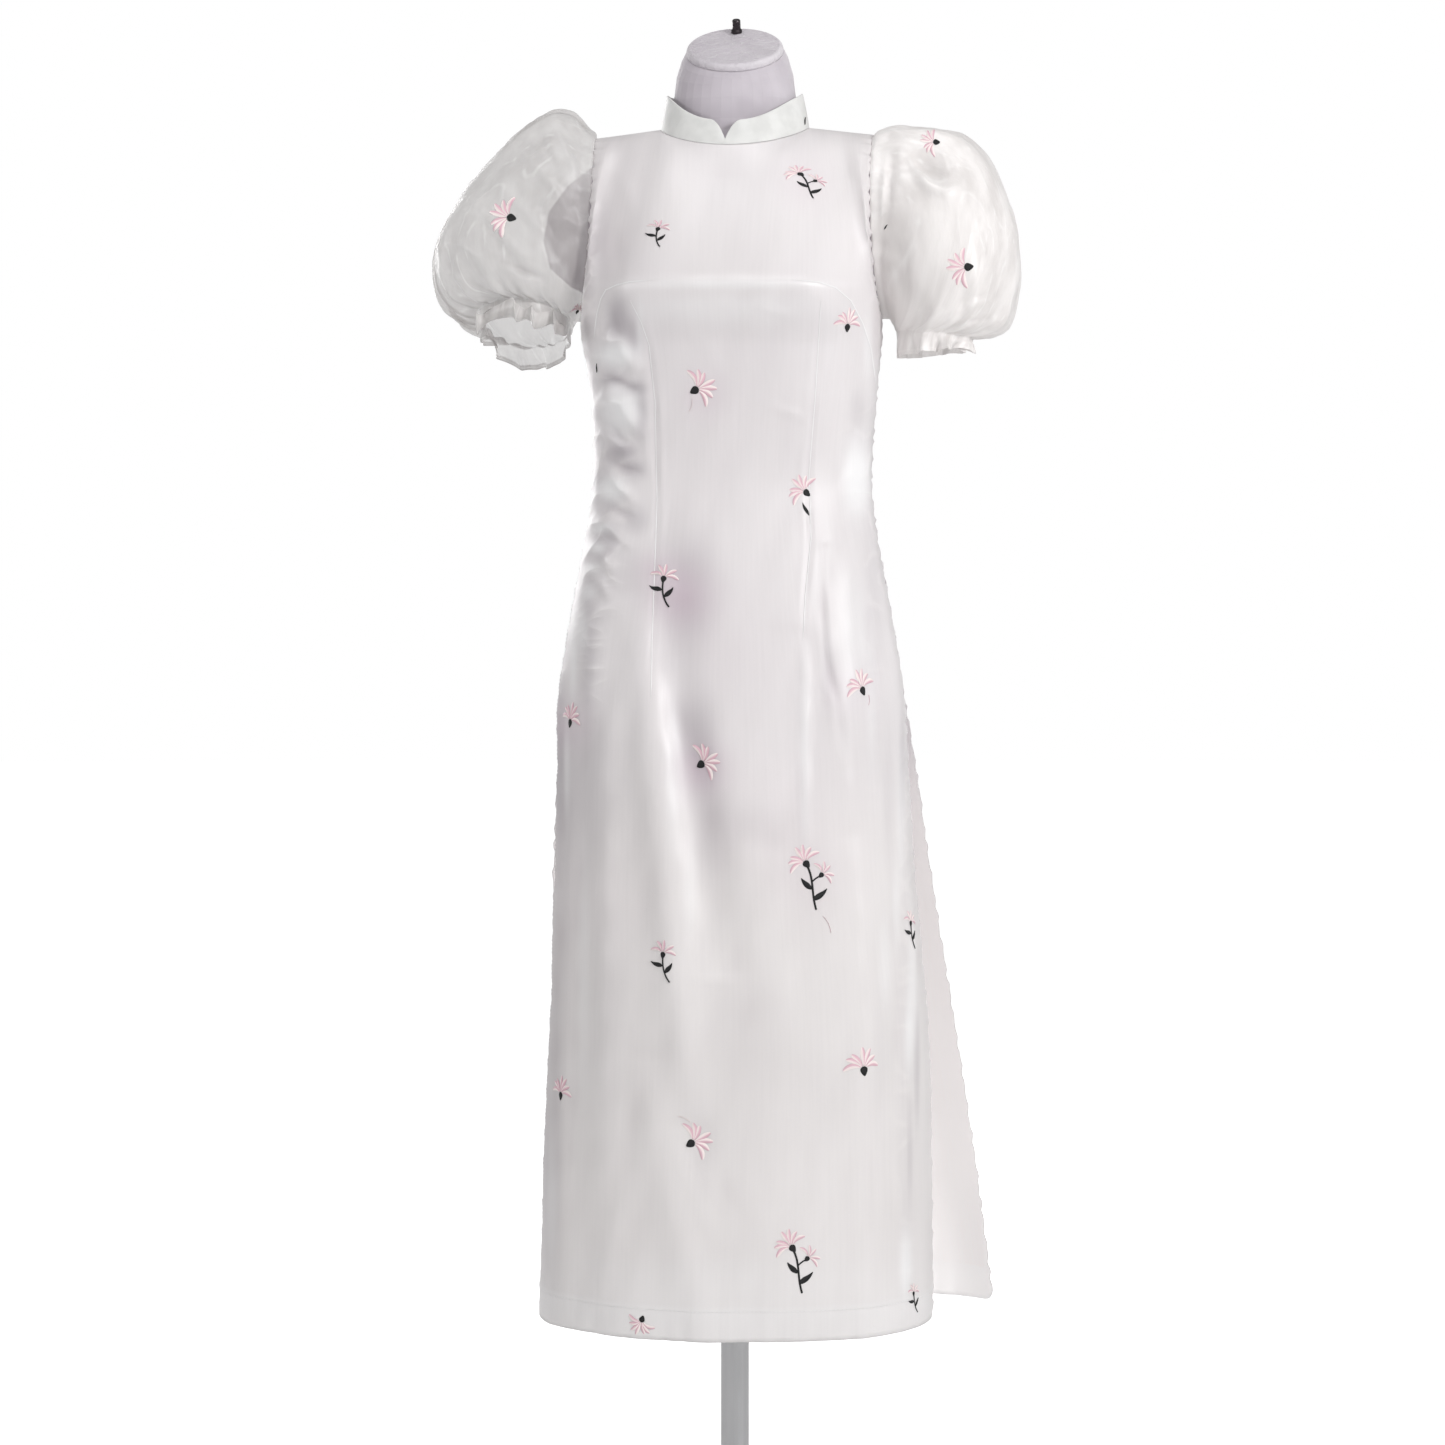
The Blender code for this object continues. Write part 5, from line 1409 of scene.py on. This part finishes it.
# Parts of a sprig in its own units, 1 is its height
def sprigParts(kind):
    if kind.startswith("low"):
        flat = {"low": ("pair", 0.62), "lowStem": ("stem", 0.80), "lowFan": ("fan", 0.80)}[kind]
        return [(part, [(p[0], p[1] * flat[1], *p[2:]) for p in points], faces)
                for part, points, faces in sprigParts(flat[0])]
    if kind == "fan":
        return blossom(0.0, -0.30, 0.0, 0.98, 7)
    if kind == "leaf":
        return [("black", *leafOf((-0.1, -0.5), (0.1, 0.5), 0.16, 0.13))]
    if kind == "thread":
        return [("petal", *stroke(curvePath([(0.0, 0.5), (0.25, 0.1), (0.1, -0.5)], 8), [0.012] * 8))]
    parts = []
    if kind == "stem":
        parts += blossom(0.0, 0.145, 10.0, 0.46, 5)
        stem = curvePath([(0.0, 0.12), (-0.03, -0.14), (0.03, -0.34), (0.17, -0.5)], 10)
        parts.append(("black", *stroke(stem, [0.020] * 10)))
        parts.append(("black", *leafOf((-0.01, -0.12), (-0.34, -0.02), 0.16, 0.048)))
        parts.append(("black", *leafOf((0.05, -0.28), (0.24, -0.04), -0.14, 0.050)))
        return parts
    parts += blossom(-0.07, 0.20, -38.0, 0.37, 7)
    parts += blossom(0.16, 0.03, 48.0, 0.27, 5)
    stem = curvePath([(-0.06, 0.17), (0.05, -0.02), (0.0, -0.25), (0.08, -0.5)], 12)
    parts.append(("black", *stroke(stem, [0.016] * 12)))
    branch = curvePath([(0.01, -0.08), (0.06, -0.02), (0.15, 0.02)], 6)
    parts.append(("black", *stroke(branch, [0.012] * 6)))
    parts.append(("black", *leafOf((0.005, -0.19), (-0.15, -0.02), 0.10, 0.036)))
    parts.append(("black", *leafOf((0.03, -0.36), (0.25, -0.18), -0.12, 0.038)))
    return parts


def addSprig(store, surface, place, normal, up, kind, turn, size, lift=0.0006):
    up = (up - normal * up.dot(normal)).normalized()
    right = up.cross(normal).normalized()
    c, s = math.cos(math.radians(turn)), math.sin(math.radians(turn))
    for part, points, faces in sprigParts(kind):
        bucket = store[part]
        first = len(bucket["points"])
        for px, py, dome, u, v in points:
            a = (px * c + py * s) * size
            b = (-px * s + py * c) * size
            spot = place + right * a + up * b
            hit, hitNormal, _, _ = surface.find_nearest(spot)
            if hitNormal.dot(normal) < 0.0:
                hitNormal = -hitNormal
            bucket["points"].append(hit + hitNormal * (0.00025 + lift * dome))
            bucket["uv"].append((u, v))
        bucket["faces"] += [tuple(i + first for i in face) for face in faces]


def newStore():
    return {part: {"points": [], "faces": [], "uv": []} for part in ("petal", "black")}


def finishStore(store, name):
    for part, material in (("petal", petalThread), ("black", blackThread)):
        bucket = store[part]
        if not bucket["points"]:
            continue
        piece = addPiece(f"{name}_{part}", bucket["points"], bucket["faces"], [material], uv=bucket["uv"])
        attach(piece, "root")


turn = math.radians(view["azimuth"])
cameraPlace = Vector(view["centre"]) + Vector((math.sin(turn), -math.cos(turn), 0.0)) * view["distance"]


def cameraRay(across, down):
    unitSize = view["sensor"] / view["lens"] / view["size"]
    right = Vector((math.cos(turn), math.sin(turn), 0.0))
    ahead = Vector((-math.sin(turn), math.cos(turn), 0.0))
    ray = ahead + right * (across - view["size"] / 2) * unitSize
    return (ray + Vector((0.0, 0.0, 1.0)) * (view["size"] / 2 - down) * unitSize).normalized()


# Start and way of a ray that meets the back at a place of its picture
def backRay(across, down):
    scale = backView["scale"]
    start = Vector(((across - backView["middle"]) / scale, backView["away"], (backView["floor"] - down) / scale))
    return start, Vector((0.0, -1.0, 0.0))


frontStore = newStore()
for across, down, kind, angle, size in frontSprigs:
    hit, normal, _, _ = frontSurface.ray_cast(cameraPlace, cameraRay(across, down))
    if hit is None:
        print("sprig missed the front", across, down)
        continue
    if normal.y > 0.0:
        normal = -normal
    addSprig(frontStore, frontSurface, hit, normal, Vector((0, 0, 1)), kind, angle, size / 1000)
finishStore(frontStore, "sprigs_front")

backStore = newStore()
for across, down, kind, angle, size in backSprigs:
    surface = leftSurface if across > backView["middle"] else rightSurface
    hit, normal, _, _ = surface.ray_cast(*backRay(across, down))
    if hit is None:
        print("sprig missed the back", across, down)
        continue
    if normal.y < 0.0:
        normal = -normal
    addSprig(backStore, surface, hit, normal, Vector((0, 0, 1)), kind, angle, size / 1000)
finishStore(backStore, "sprigs_back")


# Thin raised seams: a path on the cloth, from its picture points
def addSeam(store, path, width, castRay, surface, facing):
    dense = []
    for (ax, ay), (bx, by) in zip(path, path[1:]):
        steps = max(int(math.hypot(bx - ax, by - ay) / 3.0), 1)
        dense += [(ax + (bx - ax) * i / steps, -(ay + (by - ay) * i / steps)) for i in range(steps)]
    dense.append((path[-1][0], -path[-1][1]))
    taper = [width * min(1.0, 0.15 + i / 6.0, 0.15 + (len(dense) - 1 - i) / 6.0) for i in range(len(dense))]
    points, faces = stroke(dense, taper)
    first = len(store["points"])
    for x, y, dome, u, v in points:
        hit, normal, _, _ = castRay(x, -y)
        if hit is None:
            hit, normal = surface.find_nearest(Vector(store["points"][-1]))[:2]
        if normal.y * facing < 0.0:
            normal = -normal
        store["points"].append(hit + normal * (0.00012 + 0.0002 * dome))
        store["uv"].append((u, v * len(dense) * 0.003))
    store["faces"] += [tuple(i + first for i in face) for face in faces]


# Rows of small stitches along a line of points
def addStitches(store, line, outward, pitch=0.0042, length=0.0026, width=0.00032):
    ends = np.concatenate([[0.0], np.cumsum(np.linalg.norm(np.diff(line, axis=0), axis=-1))])
    at = lambda value: np.array([np.interp(value, ends, line[:, axis]) for axis in range(3)])
    way = lambda value: unit(np.array([np.interp(value, ends, outward[:, axis]) for axis in range(3)]))
    for start in np.arange(0.002, ends[-1] - pitch, pitch):
        low, high = at(start), at(start + length)
        normal = way(start)
        side = unit(np.cross(high - low, normal)) * width
        first = len(store["points"])
        for end, lift in ((low, 0.00012), ((low + high) / 2, 0.00030), (high, 0.00012)):
            store["points"] += [end - side + normal * 0.0001, end + normal * (0.0002 + lift), end + side + normal * 0.0001]
            store["uv"] += [(0.0, 0.0), (0.5, 0.5), (1.0, 1.0)]
        for row in (0, 3):
            for column in (0, 1):
                corner = first + row + column
                store["faces"].append((corner, corner + 1, corner + 4, corner + 3))


# Line of points at a height above the hem, and one beside a slit
def hemLine(grid, normals, up):
    line = []
    ways = []
    for column in range(4, grid.shape[1] - 4):
        z = grid[:, column, 2] - grid[0, column, 2]
        line.append([np.interp(up, z[:60], grid[:60, column, axis]) for axis in range(3)])
        ways.append(normals[10, column])
    return np.array(line), np.array(ways)


def slitLine(grid, normals, column):
    rows = slice(9, body["rows"][0] - 3)
    return grid[rows, column], normals[rows, column]


def addSeams():
    facings = (("front", -1, front), ("back", 1, back))
    for label, facing, face in facings:
        store = {"points": [], "faces": [], "uv": []}
        for path, width in face["seams"]:
            if facing < 0:
                castRay = lambda x, y: frontSurface.ray_cast(cameraPlace, cameraRay(x, y))
                surface = frontSurface
            else:
                surface = leftSurface if path[0][0] > backView["middle"] else rightSurface
                castRay = lambda x, y: surface.ray_cast(*backRay(x, y))
                path = path[::-1]
            addSeam(store, path, width, castRay, surface, facing)
        piece = addPiece(f"seams_{label}", store["points"], store["faces"], [whiteThread], uv=store["uv"])
        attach(piece, "root")
    store = {"points": [], "faces": [], "uv": []}
    slitColumns = {"front": (3, 2 * half - 3), "left": (half - 3,), "right": (half - 3,)}
    for label, grid, facing in (("front", frontGrid, -1), ("left", leftGrid, 1), ("right", rightGrid, 1)):
        normals = outwardNormals(grid, facing)
        addStitches(store, *hemLine(grid, normals, body["hemDepth"] - 0.002))
        for column in slitColumns[label]:
            addStitches(store, *slitLine(grid, normals, column))
    piece = addPiece("hem_stitches", store["points"], store["faces"], [whiteThread], uv=store["uv"])
    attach(piece, "root")


addSeams()
print("seams made")

# Sprigs of the sleeves: across, down, kind, turn, size, as seen from the front
sleeveSprigs = {
    "left": [(930, 142, "lowFan", -84, 25), (886, 227, "leaf", 30, 6), (960, 268, "fan", -98, 27)],
    "right": [(503, 216, "fan", -76, 28), (579, 308, "fan", 10, 16)],
}
# and as seen from behind: x, z, kind, turn, size
hiddenSprigs = {
    "left": [(0.215, 1.345, "fan", 40, 30), (0.245, 1.255, "fan", -60, 30)],
    "right": [(-0.172, 1.320, "fan", -50, 26)],
}
for label, surface in (("left", leftSleeveSurface), ("right", rightSleeveSurface)):
    store = newStore()
    for across, down, kind, angle, size in sleeveSprigs[label]:
        hit, normal, _, _ = surface.ray_cast(cameraPlace, cameraRay(across, down))
        if hit is None:
            print("sprig missed the sleeve", across, down)
            continue
        if normal.y > 0.0:
            normal = -normal
        addSprig(store, surface, hit, normal, Vector((0, 0, 1)), kind, angle, size / 1000)
    for x, z, kind, angle, size in hiddenSprigs[label]:
        hit, normal, _, _ = surface.ray_cast(Vector((x, 0.6, z)), Vector((0.0, -1.0, 0.0)))
        if hit is None:
            continue
        if normal.y < 0.0:
            normal = -normal
        addSprig(store, surface, hit, normal, Vector((0, 0, 1)), kind, angle, size / 1000)
    finishStore(store, f"sprigs_sleeve_{label}")
collarStore = newStore()
hit, normal, _, _ = collarSurface.ray_cast(cameraPlace, cameraRay(805, 121))
if hit is not None:
    addSprig(collarStore, collarSurface, hit, normal, Vector((0, 0, 1)), "leaf", 20, 0.010)
    finishStore(collarStore, "sprig_collar")
print("embroidery made")


# Dress form and stand


def capPiece():
    tilt = neckCap["tilt"]
    capOut = Vector((0.0, -math.sin(tilt), math.cos(tilt)))
    turnBack = Matrix.Rotation(tilt, 4, "X")
    origin = Vector((0.0, 0.0, neckCap["planeZ"])) + capOut * 0.0003
    face = neckCap["face"]
    profile = neckCap["edge"] + [
        (face["radius"] - face["step"] * i, face["height"] + face["rise"] * i) for i in range(face["rings"])]
    segments = neckCap["segments"]
    points = []
    for radius, height in profile:
        for segment in range(segments):
            angle = 2.0 * math.pi * segment / segments
            x = radius * neckCap["halfWidth"] * math.cos(angle)
            y = radius * neckCap["halfLength"] * math.sin(angle)
            crinkle = 0.0
            if height > 0.0066 and radius < 0.9:
                crinkle = 0.0006 * math.sin(x * 420 + 3.0 * math.sin(y * 210)) * (1.0 - radius) ** 0.3
                crinkle += 0.0005 * math.sin(y * 380 + 2.0 * math.sin(x * 260 + 1.0))
            points.append(origin + turnBack @ Vector((x, y, height + crinkle)))
    faces = gridFaces(len(profile), segments, True)
    faces.append(tuple(range(segments)))
    faces.append(tuple((len(profile) - 1) * segments + i for i in range(segments)))
    # The rim takes a painted highlight
    rim = [bellAt(radius, neckCap["rim"], neckCap["rimWidth"]) for radius, _ in profile for _ in range(segments)]
    piece = addPiece("form_cap", points, faces, [capJersey], floats={"rim": rim})
    faceOutwards(piece)
    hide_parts("form_neck_cap")
    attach(piece, "root")


capPiece()


def dress(node, material):
    thing = bpy.data.objects.get(node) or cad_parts[node]
    for index in range(len(thing.material_slots)):
        thing.material_slots[index].material = material


dress("form_torso", jersey)
dress("form_knob", darkMetal)
dress("stand_pole", steel)
dress("stand_base", steel)
print("form and stand made")


# Floor, light and camera


def stageMaterial():
    material, tree, shader = newMaterial("paleFloor", (0.90, 0.90, 0.90), 0.9, Emission_Color=(1.0, 1.0, 1.0, 1.0))
    rays = addNode(tree, "ShaderNodeLightPath").outputs["Is Camera Ray"]
    tree.links.new(multiplied(tree, rays, 0.74), shader.inputs["Emission Strength"])
    return material


def addStage():
    bm = bmesh.new()
    bmesh.ops.create_circle(bm, cap_ends=True, radius=60.0, segments=96)
    mesh = bpy.data.meshes.new("pale_floor")
    bm.to_mesh(mesh)
    bm.free()
    mesh.materials.append(stageMaterial())
    floor = bpy.data.objects.new("pale_floor", mesh)
    bpy.context.scene.collection.objects.link(floor)


def addArea(name, place, target, size, power):
    data = bpy.data.lights.new(name, "AREA")
    data.shape = "DISK"
    data.size = size
    data.energy = power
    thing = bpy.data.objects.new(name, data)
    thing.location = place
    thing.rotation_euler = (Vector(target) - Vector(place)).to_track_quat("-Z", "Y").to_euler()
    bpy.context.scene.collection.objects.link(thing)


addStage()
addArea("key_light", (2.3, -2.2, 1.8), (0.0, 0.0, 0.95), 1.0, 50)
addArea("fill_light", (-2.3, -2.3, 1.0), (0.0, 0.0, 0.8), 2.0, 5)
addArea("front_light", (0.5, -3.2, 2.4), (0.0, 0.0, 1.15), 2.6, 10)
addArea("top_light", (0.3, -0.9, 3.3), (0.0, 0.0, 0.9), 1.2, 14)
addArea("side_light", (-1.5, -0.5, 1.5), (-0.1, 0.0, 1.05), 0.35, 4)
addArea("back_light", (-1.7, 2.6, 1.9), (0.0, 0.0, 0.9), 1.6, 38)
addArea("back_fill", (2.3, 2.0, 1.2), (0.0, 0.0, 0.8), 2.0, 9)
world = bpy.data.worlds.new("studio")
bpy.context.scene.world = world
world.use_nodes = True
sky = world.node_tree.nodes["Background"]
sky.inputs["Color"].default_value = (1.0, 1.0, 1.0, 1.0)
rays = world.node_tree.nodes.new("ShaderNodeLightPath").outputs["Is Camera Ray"]
strength = addNode(world.node_tree, "ShaderNodeMapRange")
strength.inputs["To Min"].default_value = 0.36
strength.inputs["To Max"].default_value = 1.0
world.node_tree.links.new(rays, strength.inputs["Value"])
world.node_tree.links.new(strength.outputs["Result"], sky.inputs["Strength"])
bpy.context.scene.view_settings.view_transform = "Standard"

cameraData = bpy.data.cameras.new("camera")
cameraData.lens = view["lens"]
cameraData.sensor_width = view["sensor"]
cameraData.sensor_fit = "HORIZONTAL"
cameraThing = bpy.data.objects.new("camera", cameraData)
cameraThing.location = cameraPlace
cameraThing.rotation_euler = (math.radians(90.0), 0.0, turn)
bpy.context.scene.collection.objects.link(cameraThing)
bpy.context.scene.camera = cameraThing
